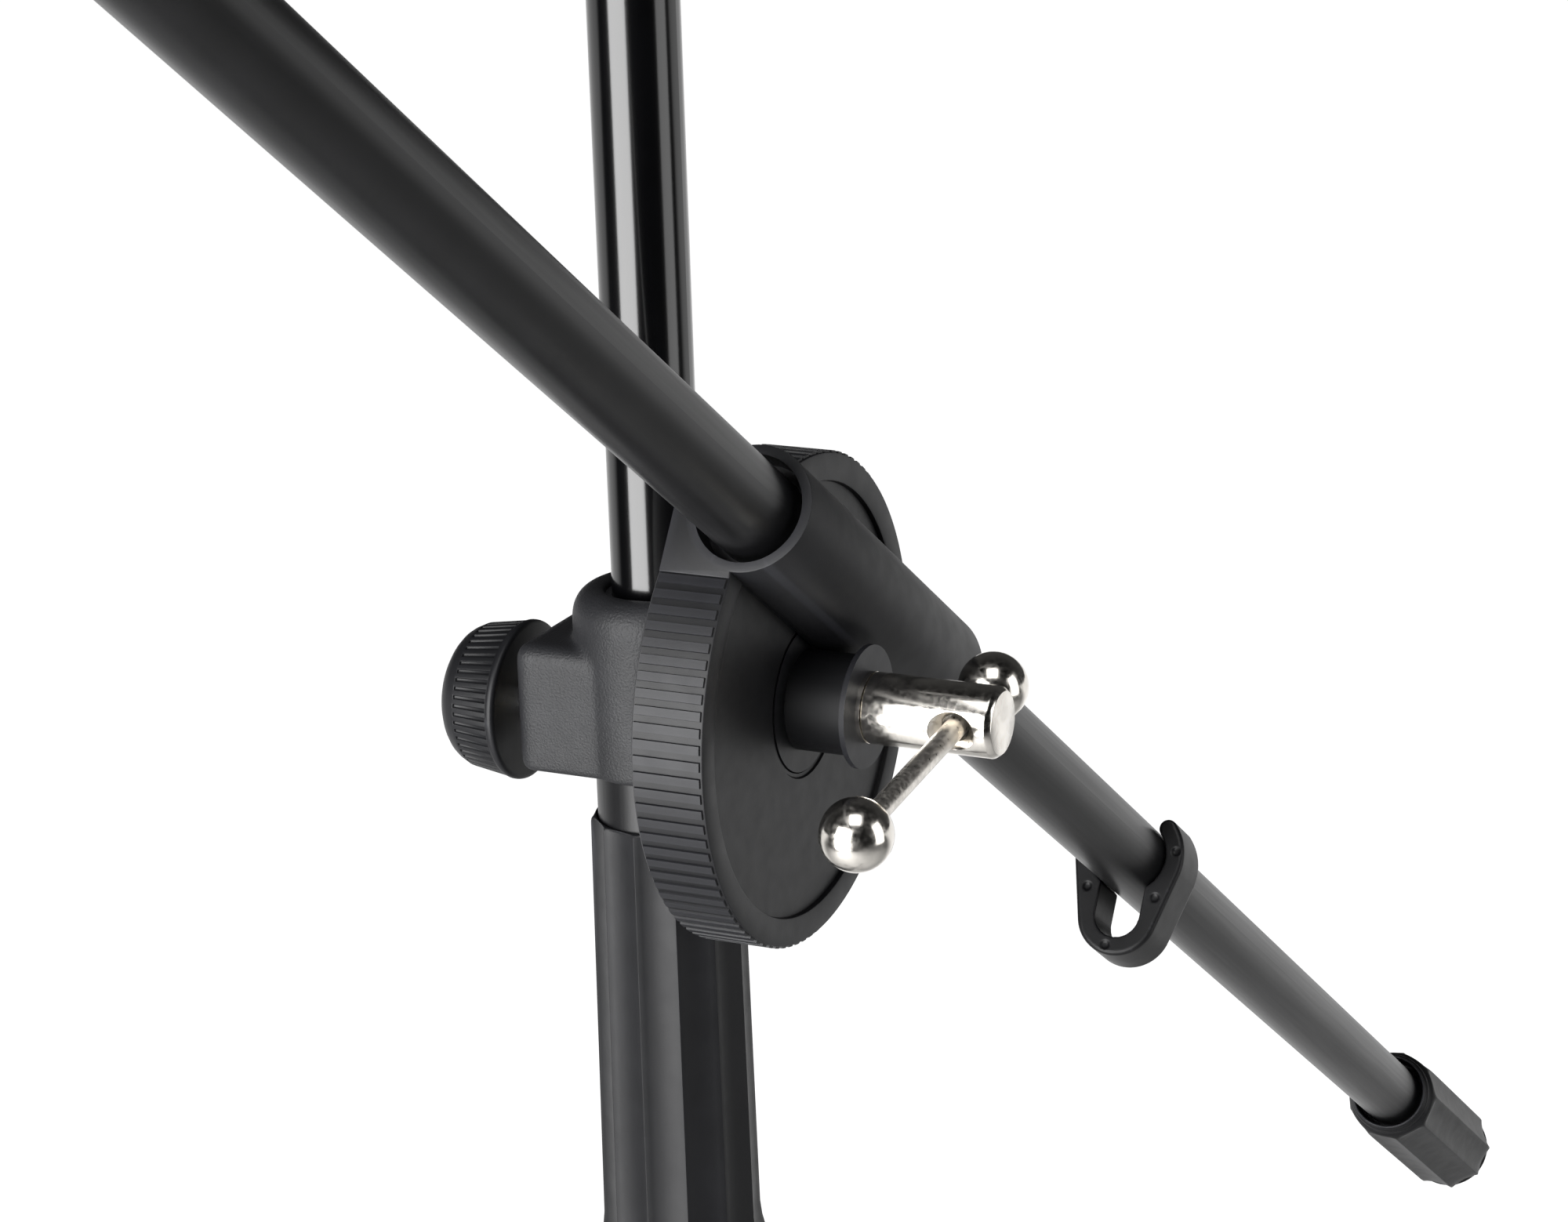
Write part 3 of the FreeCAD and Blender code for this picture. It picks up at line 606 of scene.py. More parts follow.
def make_rubber(name, colour):
    finish = FinishTree(name, colour, 0.72)
    finish.tint(finish.noise(6.0, 5.0), lighter(colour, 0.8), lighter(colour, 1.9))
    finish.rough(finish.spread(finish.noise(2.0, 4.0), 0.62, 0.86))
    finish.bump(finish.noise(0.5, 3.0), 0.03, 0.7)
    # painted highlight on the raised edges, with a little wear
    finish.edge_highlight_and_wear(lighter(colour, 5.0), 0.5)
    return finish.material


def make_fibre(name, colour):
    finish = FinishTree(name, colour, 0.9)
    strands = finish.noise(0.3, 5.0, finish.stretched((1, 4, 1)))
    finish.tint(strands, lighter(colour, 0.6), lighter(colour, 1.4))
    finish.rough(finish.spread(strands, 0.8, 1.0))
    finish.bump(strands, 0.05, 0.8)
    return finish.material


class BOOMSTAND_OT_finishes(bpy.types.Operator):
    """Make every finish and give each CAD node the one its slot names"""

    bl_idname = "boomstand.finishes"
    bl_label = "Finishes"

    def execute(self, context):
        colours = context.scene.boomstand_colours
        tilt = context.scene.boomstand_boom.tilt
        FINISHES.update({
            "rod_gloss_black": make_coated_tube("gloss_black_lacquer", colours.gloss_black,
                                                0.15, 60, sheen=0.55),
            "tube_satin_black": make_coated_tube("satin_black_coat", colours.satin_black,
                                                 0.36, 50),
            "boom_satin_black": make_coated_tube("satin_black_boom", colours.satin_black, 0.34,
                                                 50, (-(math.radians(90) + tilt), 0, 0)),
            "moulded_black": make_moulded("moulded_black_nylon", colours.moulded_black, 0.47,
                                          0.35, 0.012, 0.35),
            "textured_black": make_moulded("spark_textured_black", colours.textured_black, 0.5,
                                           0.5, 0.15, 0.3),
            "cast_black": make_moulded("crackle_black_casting", colours.cast_black, 0.45,
                                       1.1, 0.1, 0.3),
            "clip_grey": make_moulded("flexible_clip_plastic", colours.clip_grey, 0.42,
                                      0.6, 0.01, 0.3),
            "bright_nickel": make_plated("bright_nickel_plate", colours.nickel, 0.17, False),
            "satin_nickel": make_plated("satin_nickel_plate", colours.nickel, 0.34, False),
            "turned_nickel": make_plated("turned_nickel_plate", colours.nickel, 0.17, True),
            "zinc_steel": make_plated("zinc_plated_steel", colours.zinc, 0.32, False),
            "brass_insert": make_plated("turned_brass", colours.brass, 0.3, False),
            "black_rubber": make_rubber("black_rubber_feet", colours.rubber),
            "dark_nylon": make_moulded("dark_nylon_bush", colours.nylon, 0.4, 0.5, 0.01, 0.2),
            "friction_fibre": make_fibre("pressed_friction_fibre", colours.fibre),
        })
        for part in frame["record"]["subparts"]:
            slot = part["material_slot"]
            if part["node"] == "boom_tube":
                slot = "boom_satin_black"
            if part["node"] == "tommy_bar":
                slot = "satin_nickel"
            node = frame["nodes"][part["node"]]
            node.data.materials.clear()
            node.data.materials.append(FINISHES[slot])
        return {"FINISHED"}


# ------------------------------------------------------------------ clamp head


class BOOMSTAND_OT_clutch(bpy.types.Operator):
    """Model the ribbed clutch disc with the boom sleeve moulded on it"""

    bl_idname = "boomstand.clutch"
    bl_label = "Clutch disc and sleeve"

    def execute(self, context):
        sizes = context.scene.boomstand_clutch
        boom = context.scene.boomstand_boom
        rim, back = sizes.disc_radius / MM, -sizes.disc_width / MM
        step, sunk = sizes.recess_radius / MM, -sizes.recess_depth / MM
        hole = sizes.plug_radius / MM
        core = rim - sizes.groove_depth / MM
        disc = turned("clutch_disc", [
            (core - 0.3, back), (core, back + 0.3), (core, back + 0.5), (core, -0.5),
            (core, -0.25), (core - 0.08, -0.08), (core - 0.3, 0),
            (step + 0.6, 0), (step + 0.15, -0.15), (step, -0.5), (step - 0.1, sunk),
            (hole + 1.1, sunk), (hole + 0.75, sunk - 0.45), (hole, sunk - 0.5), (hole, back)],
            5 * sizes.ribs)
        raise_ribs(disc, back + 0.5, -0.5, sizes.ribs, 0.12, sizes.groove_depth / MM)
        place(disc, along_x(DISC_FACE, CLUTCH_AXIS.z))

        outer, bore = sizes.sleeve_radius / MM, sizes.sleeve_bore / MM
        front, rear = -sizes.sleeve_front / MM, sizes.sleeve_rear / MM
        here = along_boom(boom, 0.0)
        inset = boom.inset / MM
        land = slab("land_stock", (back + inset + 0.05, 0.5 - outer, front + 0.06),
                    (inset - 0.05, (boom.offset - sizes.land_low) / MM, front + 22))
        place(bevelled(land, 0.35, 2), here)
        recess = drum("recess", step + 0.3, sunk - 0.3, 5, 150)
        combine(land, place(recess, along_x(DISC_FACE, CLUTCH_AXIS.z)), "DIFFERENCE")
        combine(disc, land, "UNION")
        sleeve = turned("sleeve_stock", [
            (0, front), (outer - 0.3, front), (outer - 0.08, front + 0.08),
            (outer, front + 0.3), (outer, rear - 3.2), (outer - 0.3, rear - 1.7),
            (outer - 1.0, rear - 0.6), (outer - 1.9, rear), (0, rear)], 128)
        place(sleeve, here)
        plug_way = drum("plug_way", hole + 0.4, back - 1, sunk - 0.3, 150)
        combine(sleeve, place(plug_way, along_x(DISC_FACE, CLUTCH_AXIS.z)), "DIFFERENCE")
        combine(disc, sleeve, "UNION")
        self.round_the_root(disc, here, outer * MM, DISC_FACE - sizes.recess_depth)
        way = drum("boom_way", bore, front - 20, rear + 20, 128)
        combine(disc, place(way, here), "DIFFERENCE")
        face_outwards(disc)
        finished(disc, "boom_head", "moulded_black", "boom_clutch", angle=28.0)
        return {"FINISHED"}

    def round_the_root(self, piece, here, reach, level):
        """Fillets the corner where the sleeve rises from the disc's recessed face."""
        back_home = here.inverted()

        def at_root(vertex):
            home = back_home @ vertex.co
            return (abs(math.hypot(home.x, home.y) - reach) < 4e-5
                    and abs(vertex.co.x - level) < 2e-5)

        open_up(piece, "EDGE")
        if choose(piece, "edges", lambda edge: all(at_root(end) for end in edge.verts)):
            bpy.ops.mesh.bevel(offset=0.9 * MM, segments=3, affect="EDGES",
                               clamp_overlap=True)
        put_down()


class BOOMSTAND_OT_housing(bpy.types.Operator):
    """Model the clamp housing, with its mast boss run softly into the knob arm"""

    bl_idname = "boomstand.housing"
    bl_label = "Clamp housing"

    def execute(self, context):
        sizes = context.scene.boomstand_head
        reach, top = sizes.arm_reach / MM, sizes.arm_top / MM
        half, boss = sizes.arm_half / MM, sizes.boss_radius / MM
        low = (HOUSING_BOTTOM - CLUTCH_AXIS.z) / MM + 0.05
        high = sizes.boss_top / MM
        arm = slab("housing_casting", (-reach, -half, low), (0, half, top))
        open_up(arm, "EDGE")
        choose(arm, "edges", lambda edge: all(end.co.x < -1 * MM for end in edge.verts) or
               all(end.co.z > 0 for end in edge.verts))
        bpy.ops.mesh.bevel(offset=3.6 * MM, segments=6, affect="EDGES")
        put_down()
        mast_boss = turned("mast_boss", [
            (0, low), (boss, low), (boss, high - 6.2), (boss - 0.45, high - 3.9),
            (boss - 1.7, high - 1.8), (boss - 3.5, high - 0.5), (boss - 5.6, high),
            (boss - 7.2, high - 0.5), (boss - 8.0, high - 1.4), (0, high - 1.4)], 96)
        combine(arm, mast_boss, "UNION")
        clutch_boss = drum("clutch_boss", 18.0, 0, 17.6)
        combine(arm, place(clutch_boss, along_x(0, 0)), "UNION")
        spigot = drum("spigot", 13.75, low - 41.9, low + 5)
        combine(arm, spigot, "UNION")
        flat = slab("plate_side", (17.6, -30, -30), (30, 30, 30))
        combine(arm, flat, "DIFFERENCE")
        combine(arm, drum("rod_way", 11.5, low - 60, high + 20), "DIFFERENCE")
        insert_way = drum("insert_way", 6.5, 20, reach + 5)
        combine(arm, place(insert_way, along_x(0, -sizes.knob_drop, True)), "DIFFERENCE")
        softened(arm, 0.55, 22)
        place(arm, Matrix.Translation((0, 0, CLUTCH_AXIS.z)))
        face_outwards(arm)
        finished(arm, "clamp_head", "textured_black", "clamp_housing", angle=60.0)
        return {"FINISHED"}


class BOOMSTAND_OT_knob(bpy.types.Operator):
    """Model the domed rod knob with its fine ribs"""

    bl_idname = "boomstand.knob"
    bl_label = "Rod knob"

    def execute(self, context):
        sizes = context.scene.boomstand_head
        rim = sizes.knob_radius / MM
        knob = turned("rod_knob_ribbed", [
            (0, 12), (4.05, 12), (4.05, 0.1), (rim - 1.2, 0), (rim - 0.5, 0.1),
            (rim - 0.1, 0.4), (rim, 0.8), (rim, 1.3), (rim - 0.15, 1.65), (rim - 0.3, 1.8),
            (rim - 0.3, 2.1), (rim - 1.65, 11.0), (rim - 2.0, 11.7), (rim - 2.6, 13.0),
            (rim - 3.4, 14.15), (rim - 4.6, 15.25), (rim - 6.2, 16.3), (rim - 8.2, 17.2),
            (rim - 10.6, 17.95), (rim - 13.2, 18.5), (rim - 15.8, 18.85), (0, 19.05)],
            2 * sizes.knob_ribs)
        notch(knob, 2.1, 11.0, sizes.knob_ribs, 0.2, 0.55)
        bevelled(knob, 0.1, 1, 40.0)
        place(knob, along_x(KNOB_HIGH.x, CLUTCH_AXIS.z - sizes.knob_drop, True))
        face_outwards(knob)
        finished(knob, "rod_knob", "moulded_black", "rod_knob", angle=40.0)
        return {"FINISHED"}


class BOOMSTAND_OT_screw(bpy.types.Operator):
    """Model the clamp screw with its chamfered end and countersunk cross hole"""

    bl_idname = "boomstand.screw"
    bl_label = "Clamp screw and balls"

    def execute(self, context):
        sizes = context.scene.boomstand_head
        barrel = sizes.barrel_radius / MM
        tip, end = 0.0, (SCREW_HIGH.x - SCREW_LOW.x) / MM
        shoulder = (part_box("screw_collar")[1].x - SCREW_LOW.x) / MM + 0.13
        thread, pitch = 5.95, 1.25
        outline = [(0, tip), (thread - 1, tip), (thread - 0.1, tip + 0.9)]
        height = tip + 1.2
        while height < shoulder - 20:
            outline += [(thread, height), (thread - 0.65, height + pitch / 2)]
            height += pitch
        outline += [
            (thread, height), (thread, shoulder), (barrel - 0.35, shoulder),
            (barrel, shoulder + 0.35), (barrel, end - 1.5), (barrel - 0.12, end - 1.1),
            (barrel - 0.85, end - 0.12), (barrel - 1.1, end), (0, end)]
        screw = turned("clamp_screw_turned", outline, 96)
        place(screw, Matrix.Translation((SCREW_LOW.x, 0, CLUTCH_AXIS.z)) @
              Matrix.Rotation(math.radians(90), 4, "Y"))
        here = along_bar(sizes)
        combine(screw, place(drum("cross_hole", 3.1, -20, 20, 64), here), "DIFFERENCE")
        for side in (-1, 1):
            cone = turned("countersink", [
                (0, side * 4.5), (2.7, side * 4.5), (5.3, side * 7.6), (5.6, side * 9.5),
                (0, side * 9.5)], 60)
            combine(screw, place(cone, here), "DIFFERENCE")
        face_outwards(screw)
        bevelled(screw, 0.12, 2, 35.0)
        finished(screw, "clamp_screw", "bright_nickel", "clamp_screw", angle=30.0)
        screw.data.materials.append(FINISHES["turned_nickel"])
        open_up(screw, "FACE")
        choose(screw, "faces", lambda face: face.normal.x > 0.95 and
               face.calc_center_median().x > SCREW_HIGH.x - 0.3 * MM)
        screw.active_material_index = 1
        bpy.ops.object.material_slot_assign()
        put_down()
        for side, sign in (("front", -1), ("rear", 1)):
            self.make_ball(sizes, side, sign)
        return {"FINISHED"}

    def make_ball(self, sizes, side, sign):
        """A ball drilled for the bar, with a small flat collar round the hole."""
        centre = middle("bar_ball_" + side)
        put_down()
        bpy.ops.mesh.primitive_uv_sphere_add(segments=96, ring_count=64,
                                             radius=sizes.ball_radius)
        ball = new_piece("ball_" + side)
        open_up(ball, "FACE")
        choose(ball, "faces", lambda face: face.calc_center_median().z < -7.25 * MM)
        bpy.ops.mesh.delete(type="FACE")
        choose(ball, "edges", lambda edge: edge.is_boundary)
        bpy.ops.mesh.extrude_region_move(TRANSFORM_OT_translate={"value": (0, 0, 0.12 * MM)})
        bpy.ops.transform.resize(value=(0.93, 0.93, 1))
        bpy.ops.mesh.edge_face_add()
        face_outwards(ball)
        turn_in = Matrix.Rotation(math.pi, 4, "X") if sign < 0 else Matrix()
        spin = along_bar(sizes).to_3x3().to_4x4()
        place(ball, Matrix.Translation(centre) @ spin @ turn_in)
        finished(ball, "tommy_bar", "bright_nickel", "bar_ball_" + side, angle=30.0)


# ------------------------------------------------------------------ mast


class BOOMSTAND_OT_grip(bpy.types.Operator):
    """Model the long twist grip with its broad hollow flutes"""

    bl_idname = "boomstand.grip"
    bl_label = "Twist grip"

    def execute(self, context):
        sizes = context.scene.boomstand_mast
        top = (GRIP_HIGH.z - GRIP_LOW.z) / MM
        heights = [top - 1.4, top - 6, top - 20, top - 35, top - 50, top - 65, top - 80,
                   top - 97.5]
        outside = []
        for height in heights:
            share = (top - height) / 97.0
            outside.append((17.0 + 1.15 * share, height))
        bell = [(18.55, top - 101), (19.5, top - 105), (20.7, top - 108.5), (21.35, top - 112),
                (21.5, top - 115.5), (21.5, top - 130), (21.5, top - 150), (21.5, 6), (21.5, 1.6),
                (21.2, 0.5), (20.5, 0)]
        grip = turned("twist_grip_fluted", [
            (15.7, top), (16.0, top), (16.55, top - 0.15), (16.9, top - 0.6), *outside, *bell,
            (19.3, 0), (19.3, 38), (17.6, 38), (17.6, 64), (15.7, 71)],
            8 * sizes.grip_flutes)

        def fade(height, reach):
            if reach < 16.5 or height < 0.4:
                return 0.0
            return 0.45 if height > top - 0.3 else 1.0

        scallop(grip, sizes.grip_flutes, 8, sizes.flute_depth, fade)
        place(grip, Matrix.Translation((0, 0, GRIP_LOW.z)) @
              Matrix.Rotation(sizes.first_ridge, 4, "Z"))
        face_outwards(grip)
        bevelled(grip, 0.14, 2, 12.0)
        finished(grip, "twist_grip", "moulded_black", "twist_grip", angle=30.0)
        return {"FINISHED"}


class BOOMSTAND_OT_studs(bpy.types.Operator):
    """Model the two threaded microphone studs"""

    bl_idname = "boomstand.studs"
    bl_label = "Threaded studs"

    def execute(self, context):
        sizes = context.scene.boomstand_mast
        boom = context.scene.boomstand_boom
        crest, pitch = sizes.thread_radius / MM, sizes.thread_pitch / MM
        rod_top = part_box("rod_stud")[1].z
        upright = Matrix.Translation((0, 0, rod_top - 53 * MM))
        boom_end = along_boom(boom, -0.64505 + 0.02595) @ Matrix.Rotation(math.pi, 4, "X")
        for name, body, node, shank, here in (
                ("rod_stud_threaded", "rod", "rod_stud", 8.45, upright),
                ("boom_stud_threaded", "boom", "boom_stud", 8.55, boom_end)):
            outline = [(0, 0), (shank, 0), (shank, 26), (9.6, 26), (10, 26.4), (10, 30.6),
                       (9.6, 31), (crest - 0.8, 31), (crest - 0.8, 31.9)]
            height = 32.3
            while height < 51.4:
                outline += [(crest, height), (crest - 0.12, height + pitch * 0.16),
                            (crest - 0.62, height + pitch * 0.55)]
                height += pitch
            outline += [(crest - 0.1, height), (crest - 1.1, 53), (0, 53)]
            stud = turned(name, outline, 64)
            place(stud, here)
            face_outwards(stud)
            finished(stud, body, "bright_nickel", node, angle=25.0)
        return {"FINISHED"}


# ------------------------------------------------------------------ boom


class BOOMSTAND_OT_cap(bpy.types.Operator):
    """Model the fluted rubber-like cap on the boom's rear end"""

    bl_idname = "boomstand.cap"
    bl_label = "Rear cap"

    def execute(self, context):
        sizes = context.scene.boomstand_boom
        rim, end = sizes.cap_radius / MM, sizes.cap_length / MM
        cap = turned("rear_cap_fluted", [
            (10.08, 9), (11.7, 8.8), (11.7, 0.5), (11.85, 0.15), (12.2, 0), (12.55, 0.15),
            (12.75, 0.6), (12.6, 1.15), (12.95, 1.4), (13.35, 2.0), (13.5, 2.8), (13.35, 3.3),
            (13.8, 3.6), (14.5, 4.8), (15.0, 6.0), (15.25, 7.0), (15.35, 8.0), (15.42, 9.5),
            (rim - 0.12, 13), (rim - 0.08, 30), (rim - 0.06, 55), (rim - 0.03, 80),
            (rim, 90), (rim - 0.12, 94), (rim - 0.7, 96.4), (rim - 1.7, end - 0.3),
            (rim - 2.8, end), (8, end), (7.5, end - 0.5), (0, end - 0.5), ], 8 * sizes.cap_flutes)

        def fade(height, reach):
            if reach < 14.2:
                return 0.0
            return max(0.0, min(1.0, (height - 5.2) / 3.4))

        scallop(cap, sizes.cap_flutes, 8, 1.65 * MM, fade)
        open_up(cap, "EDGE")
        if choose(cap, "edges", lambda edge: edge.is_boundary):
            bpy.ops.mesh.edge_face_add()
        put_down()
        place(cap, along_boom(sizes, sizes.cap_mouth) @ Matrix.Rotation(-sizes.cap_turn, 4, "Z"))
        face_outwards(cap)
        bevelled(cap, 0.25, 2, 14.0)
        finished(cap, "boom", "moulded_black", "rear_cap", angle=32.0)
        return {"FINISHED"}


class BOOMSTAND_OT_clip(bpy.types.Operator):
    """Model the springy cable clip with its loop"""

    bl_idname = "boomstand.clip"
    bl_label = "Cable clip"

    def execute(self, context):
        sizes = context.scene.boomstand_boom
        width, bore = sizes.clip_width / MM, sizes.clip_bore / MM
        wall, drop = sizes.clip_wall / MM, sizes.clip_drop / MM
        loop = sizes.loop_radius / MM
        clip = drum("cable_clip_moulded", bore + wall, 0, width, 96)
        open_up(clip)
        choose(clip, "verts", lambda vertex: vertex.co.y > (bore + wall) * 0.25 * MM)
        slim = (loop + wall) / (bore + wall)
        bpy.ops.transform.resize(value=(slim, slim, 1), center_override=(0, 0, 0))
        bpy.ops.transform.translate(value=(0, drop * MM, 0))
        bpy.ops.mesh.select_mode(type="EDGE")

        def on_rim(edge):
            levels = [end.co.z for end in edge.verts]
            return abs(levels[0] - levels[1]) < 1e-6

        choose(clip, "edges", on_rim)
        bpy.ops.mesh.bevel(offset=1.0 * MM, segments=3, affect="EDGES")
        put_down()
        cutters = [
            drum("clip_way", bore, -5, width + 5, 96),
            place(drum("loop_way", loop, -5, width + 5, 96),
                  Matrix.Translation((0, drop * MM, 0))),
            slab("throat", (-loop, 0, -5), (loop, drop, width + 5)),
        ]
        for side in (-1, 1):
            mouth = slab("mouth", (-6 - 6 * side, -22, -5), (6 - 6 * side, 0, width + 5))
            cutters.append(place(mouth, Matrix.Rotation(side * sizes.clip_mouth / 2, 4, "Z")))
        for across, down, depth in ((-9.8, 10.0, 0.5), (9.6, 10.7, 0.5), (-1.6, 25.3, 0.4),
                                    (13.0, -2.7, 0.5)):
            dimple = drum("dimple", 1.3, -1, depth, 32)
            cutters.append(place(dimple, Matrix.Translation((across * MM, down * MM, 0))))
        for cutter in cutters:
            combine(clip, cutter, "DIFFERENCE")
        for side in (-1, 1):
            nose = bevelled(drum("nose", wall / 2 - 0.02, 0, width, 48), 0.6)
            tip = Matrix.Rotation(side * sizes.clip_mouth / 2, 4, "Z").to_3x3() @ Vector(
                (0, -(bore + wall / 2) * MM, 0))
            combine(clip, place(nose, Matrix.Translation(tip)), "UNION")
        softened(clip, 0.34, 4)
        place(clip, along_boom(sizes, sizes.clip_station))
        face_outwards(clip)
        finished(clip, "cable_clip", "clip_grey", "cable_clip", angle=60.0)
        return {"FINISHED"}


# ------------------------------------------------------------------ tripod


class BOOMSTAND_OT_feet(bpy.types.Operator):
    """Model a ribbed rubber foot and copy it on the three legs"""

    bl_idname = "boomstand.feet"
    bl_label = "Rubber feet"

    def execute(self, context):
        sizes = context.scene.boomstand_tripod
        outer, span = sizes.foot_radius / MM, sizes.foot_length / MM
        start = sizes.reach / MM - span + 4
        outline = [(8.02, start), (outer - 0.6, start), (outer, start + 0.7)]
        height = start + 5
        for _ in range(4):
            outline += [(outer, height), (outer - 0.7, height + 0.5),
                        (outer - 0.7, height + 1.6), (outer, height + 2.1)]
            height += 5.2
        outline += [(outer, start + span - 3.0), (outer - 0.6, start + span - 1.0),
                    (outer - 2.2, start + span), (0, start + span),
                    (0, start + span - 4), (8.02, start + span - 4)]
        outline = [corner for corner in outline if corner[0] > 0 or corner[1] > start + span - 1]
        sock = turned("foot_sock", [(0, start + span - 4), (8.02, start + span - 4), *outline[:-1]],
                      64)
        out = (Matrix.Translation((sizes.pivot_radius, 0, sizes.pivot_height)) @
               Matrix.Rotation(sizes.slope, 4, "Y") @ Matrix.Rotation(math.radians(90), 4, "Y"))
        place(sock, out)
        pad = sizes.pad_radius / MM
        shoe = turned("foot_pad", [
            (0, 0), (pad - 0.8, 0), (pad, 0.8), (pad, 3.2), (pad - 0.5, 4.0), (pad - 1.2, 5.0),
            (pad - 1.8, 12), (0, 12)], 64)
        place(shoe, Matrix.Translation((sizes.pivot_radius + 0.96 * sizes.reach, 0, 0)))
        leg_way = drum("leg_way", 8.02, 200, sizes.reach / MM, 64)
        combine(shoe, place(leg_way, out), "DIFFERENCE")
        combine(sock, shoe, "UNION")
        face_outwards(sock)
        for name, angle in (("rear", 90), ("left", 210), ("right", 330)):
            pick_up(sock)
            bpy.ops.object.duplicate()
            foot = bpy.context.object
            foot.name = foot.data.name = "rubber_foot_" + name
            place(foot, Matrix.Rotation(math.radians(angle), 4, "Z"))
            finished(foot, "leg_" + name, "black_rubber", "leg_%s_foot" % name, angle=30.0)
        bpy.data.objects.remove(sock, do_unlink=True)
        return {"FINISHED"}


class BOOMSTAND_OT_hub(bpy.types.Operator):
    """Soften the tripod hub as a coated casting"""

    bl_idname = "boomstand.hub"
    bl_label = "Tripod hub"

    def execute(self, context):
        put_down()
        hub = frame["nodes"]["tripod_hub"].copy()
        hub.data = hub.data.copy()
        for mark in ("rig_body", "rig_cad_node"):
            if mark in hub:
                del hub[mark]
        hub.name = hub.data.name = "tripod_hub_casting"
        hub.parent = None
        context.scene.collection.objects.link(hub)
        open_up(hub)
        bpy.ops.mesh.select_all(action="SELECT")
        bpy.ops.mesh.remove_doubles(threshold=1e-5)
        bpy.ops.mesh.normals_make_consistent(inside=False)
        put_down()
        softened(hub, 0.85, 3)
        face_outwards(hub)
        finished(hub, "base", "cast_black", "tripod_hub", angle=60.0)
        return {"FINISHED"}


# ------------------------------------------------------------------ studio


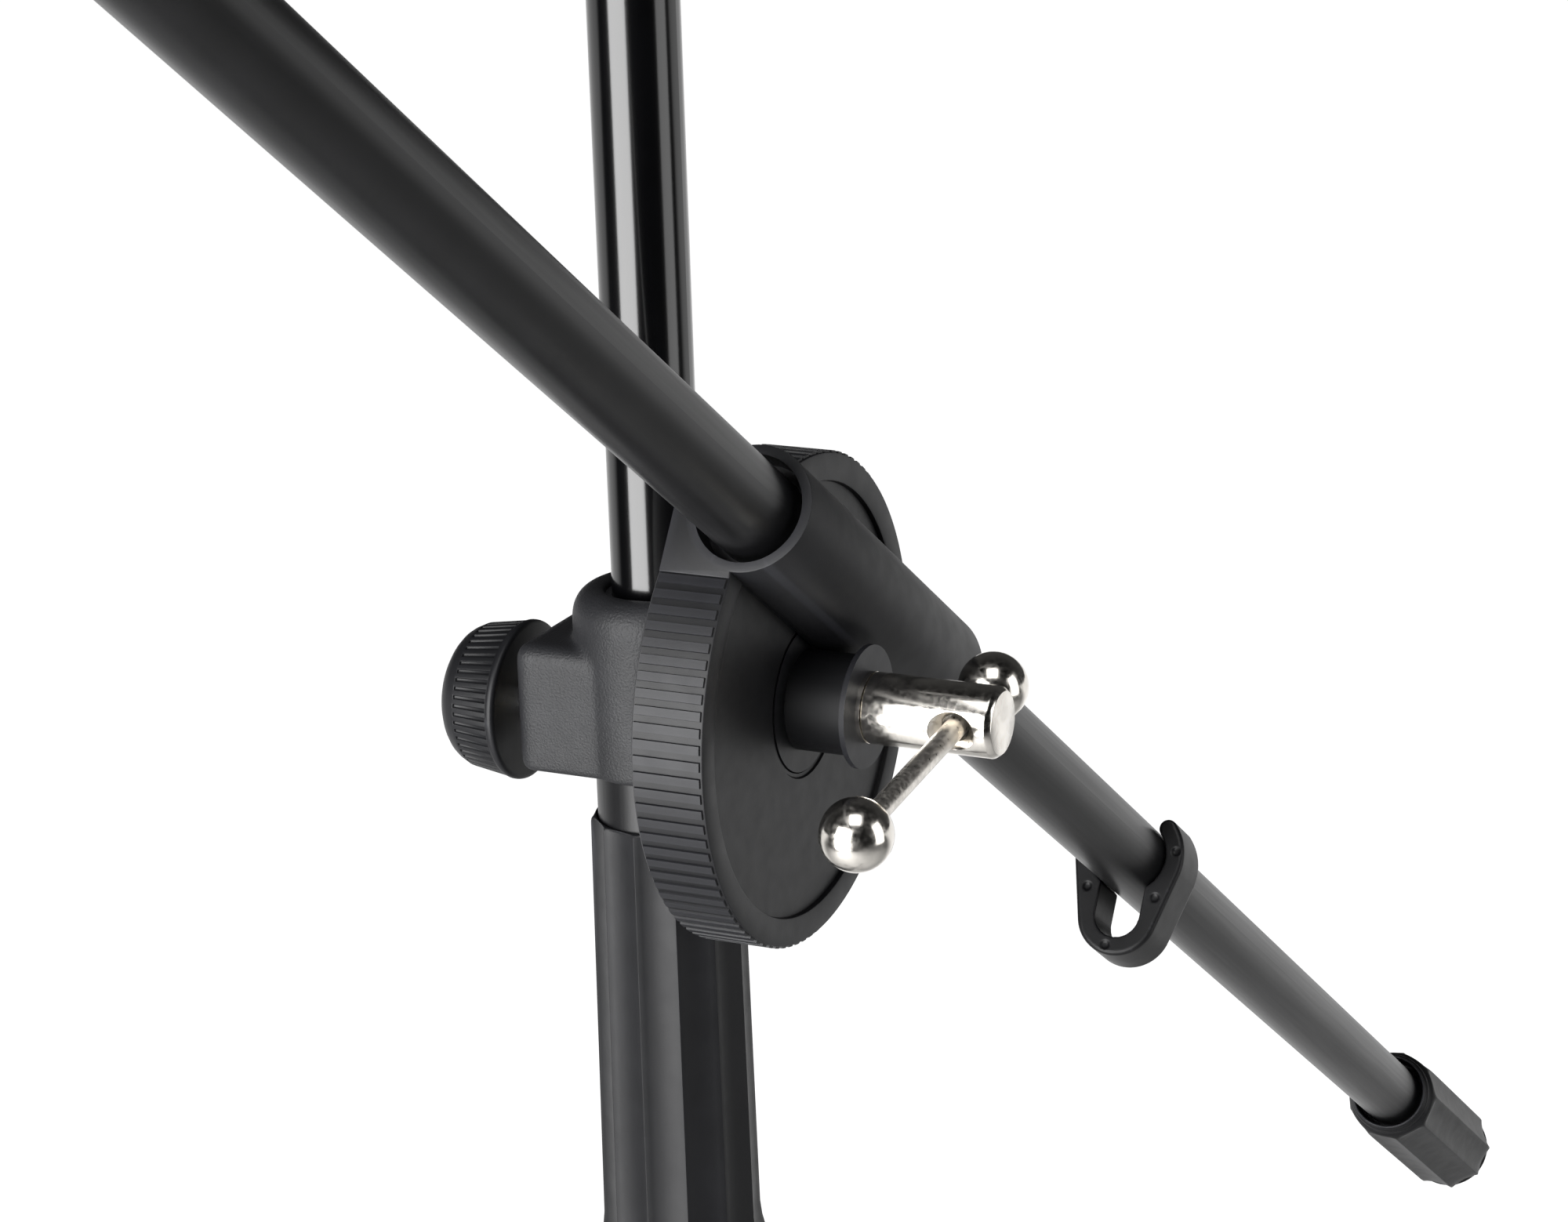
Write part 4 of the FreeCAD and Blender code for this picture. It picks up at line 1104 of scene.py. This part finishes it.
class BOOMSTAND_OT_studio(bpy.types.Operator):
    """Set the floor, the soft lights, the surroundings and the camera"""

    bl_idname = "boomstand.studio"
    bl_label = "Studio"

    def execute(self, context):
        settings = context.scene.boomstand_studio
        target = Vector((DISC_FACE, 0, CLUTCH_AXIS.z))
        self.make_floor(settings)
        self.make_surroundings(context, settings)
        self.make_camera(context, settings, target)
        for name, azimuth, elevation, reach, width, height, power in (
                ("key_light", -17, 2, 1.5, 1.2, 1.75, 78.0),
                ("side_light", 96, 8, 1.5, 0.8, 1.4, 9.0),
                ("top_light", 20, 64, 1.6, 0.9, 0.9, 9.0)):
            self.make_light(target, name, azimuth, elevation, reach, width, height, power)
        return {"FINISHED"}

    def make_floor(self, settings):
        put_down()
        bpy.ops.mesh.primitive_plane_add(size=80.0, location=(0, 0, 0))
        floor = new_piece("studio_floor")
        finish = FinishTree("studio_floor_paint", settings.floor, 0.95)
        finish.shader.inputs["Emission Color"].default_value = (1, 1, 1, 1)
        behind = finish.add("ShaderNodeVectorMath", operation="DOT_PRODUCT")
        behind.inputs[1].default_value = (-math.sin(settings.azimuth),
                                          math.cos(settings.azimuth), 0)
        finish.link(finish.stretched((1, 1, 1)), behind.inputs[0])
        glow = finish.spread(behind.outputs["Value"], 0.0, 1.0, 0.5, 1.4)
        finish.link(glow, finish.shader.inputs["Emission Strength"])
        finish.rough(finish.spread(finish.noise(40.0, 3.0), 0.9, 1.0))
        floor.data.materials.append(finish.material)

    def make_surroundings(self, context, settings):
        """A bright horizon behind the stand that darkens overhead and behind the camera."""
        world = bpy.data.worlds.new("studio_surroundings")
        context.scene.world = world
        world.use_nodes = True
        tree = world.node_tree
        light = tree.nodes["Background"]
        place_round = tree.nodes.new("ShaderNodeTexCoord").outputs["Generated"]
        towards = tree.nodes.new("ShaderNodeVectorMath")
        towards.operation = "DOT_PRODUCT"
        towards.inputs[1].default_value = (math.sin(settings.azimuth),
                                           -math.cos(settings.azimuth), 0.45)
        tree.links.new(place_round, towards.inputs[0])
        ramp = tree.nodes.new("ShaderNodeMapRange")
        ramp.interpolation_type = "SMOOTHSTEP"
        ramp.inputs["From Min"].default_value = -0.75
        ramp.inputs["From Max"].default_value = 0.55
        ramp.inputs["To Min"].default_value = 0.85
        ramp.inputs["To Max"].default_value = 0.06
        tree.links.new(towards.outputs["Value"], ramp.inputs["Value"])
        tree.links.new(ramp.outputs["Result"], light.inputs["Strength"])
        context.scene.view_settings.view_transform = "Standard"

    def make_light(self, target, name, azimuth, elevation, reach, width, height, power):
        azimuth, elevation = math.radians(azimuth), math.radians(elevation)
        away = Vector((math.sin(azimuth) * math.cos(elevation),
                       -math.cos(azimuth) * math.cos(elevation), math.sin(elevation)))
        put_down()
        bpy.ops.object.light_add(type="AREA", location=target + away * reach)
        lamp = bpy.context.object
        lamp.name = name
        lamp.rotation_euler = away.to_track_quat("Z", "Y").to_euler()
        lamp.data.shape = "RECTANGLE"
        lamp.data.size = width
        lamp.data.size_y = height
        lamp.data.energy = power

    def make_camera(self, context, settings, target):
        azimuth, elevation, roll = settings.azimuth, settings.elevation, settings.roll
        right = Vector((math.cos(azimuth), math.sin(azimuth), 0))
        back = Vector((math.sin(azimuth) * math.cos(elevation),
                       -math.cos(azimuth) * math.cos(elevation), math.sin(elevation)))
        up = back.cross(right)
        view_right = math.cos(roll) * right + math.sin(roll) * up
        view_up = back.cross(view_right)
        put_down()
        bpy.ops.object.camera_add()
        camera = bpy.context.object
        camera.name = "studio_camera"
        camera.data.lens = settings.lens
        camera.data.sensor_width = 36.0
        camera.data.clip_end = 200.0
        place_at = (target + back * settings.distance - view_right * settings.aim_right
                    + view_up * settings.aim_down)
        axes = Matrix((view_right, view_up, back)).transposed().to_4x4()
        camera.matrix_world = Matrix.Translation(place_at) @ axes
        context.scene.camera = camera


# ------------------------------------------------------------------ panel

SETTINGS = (
    ("boomstand_clutch", ClutchSizes),
    ("boomstand_head", HeadSizes),
    ("boomstand_boom", BoomSizes),
    ("boomstand_mast", MastSizes),
    ("boomstand_tripod", TripodSizes),
    ("boomstand_colours", FinishColours),
    ("boomstand_studio", StudioSettings),
)
STEPS = (
    BOOMSTAND_OT_finishes,
    BOOMSTAND_OT_clutch,
    BOOMSTAND_OT_housing,
    BOOMSTAND_OT_knob,
    BOOMSTAND_OT_screw,
    BOOMSTAND_OT_grip,
    BOOMSTAND_OT_studs,
    BOOMSTAND_OT_cap,
    BOOMSTAND_OT_clip,
    BOOMSTAND_OT_feet,
    BOOMSTAND_OT_hub,
    BOOMSTAND_OT_studio,
)


class BOOMSTAND_PT_steps(bpy.types.Panel):
    """Sidebar list of the stand's pieces"""

    bl_idname = "BOOMSTAND_PT_steps"
    bl_label = "Boom stand"
    bl_space_type = "VIEW_3D"
    bl_region_type = "UI"
    bl_category = "Boom stand"

    def draw(self, context):
        for step in STEPS:
            self.layout.operator(step.bl_idname)


CLASSES = (*(group for _, group in SETTINGS), *STEPS, BOOMSTAND_PT_steps)


def register():
    for item in CLASSES:
        bpy.utils.register_class(item)
    for name, group in SETTINGS:
        setattr(bpy.types.Scene, name, PointerProperty(type=group))


def unregister():
    for name, _ in SETTINGS:
        delattr(bpy.types.Scene, name)
    for item in reversed(CLASSES):
        bpy.utils.unregister_class(item)


def main():
    register()
    for step in STEPS:
        family, name = step.bl_idname.split(".")
        getattr(getattr(bpy.ops, family), name)()


if __name__ == "__main__":
    main()
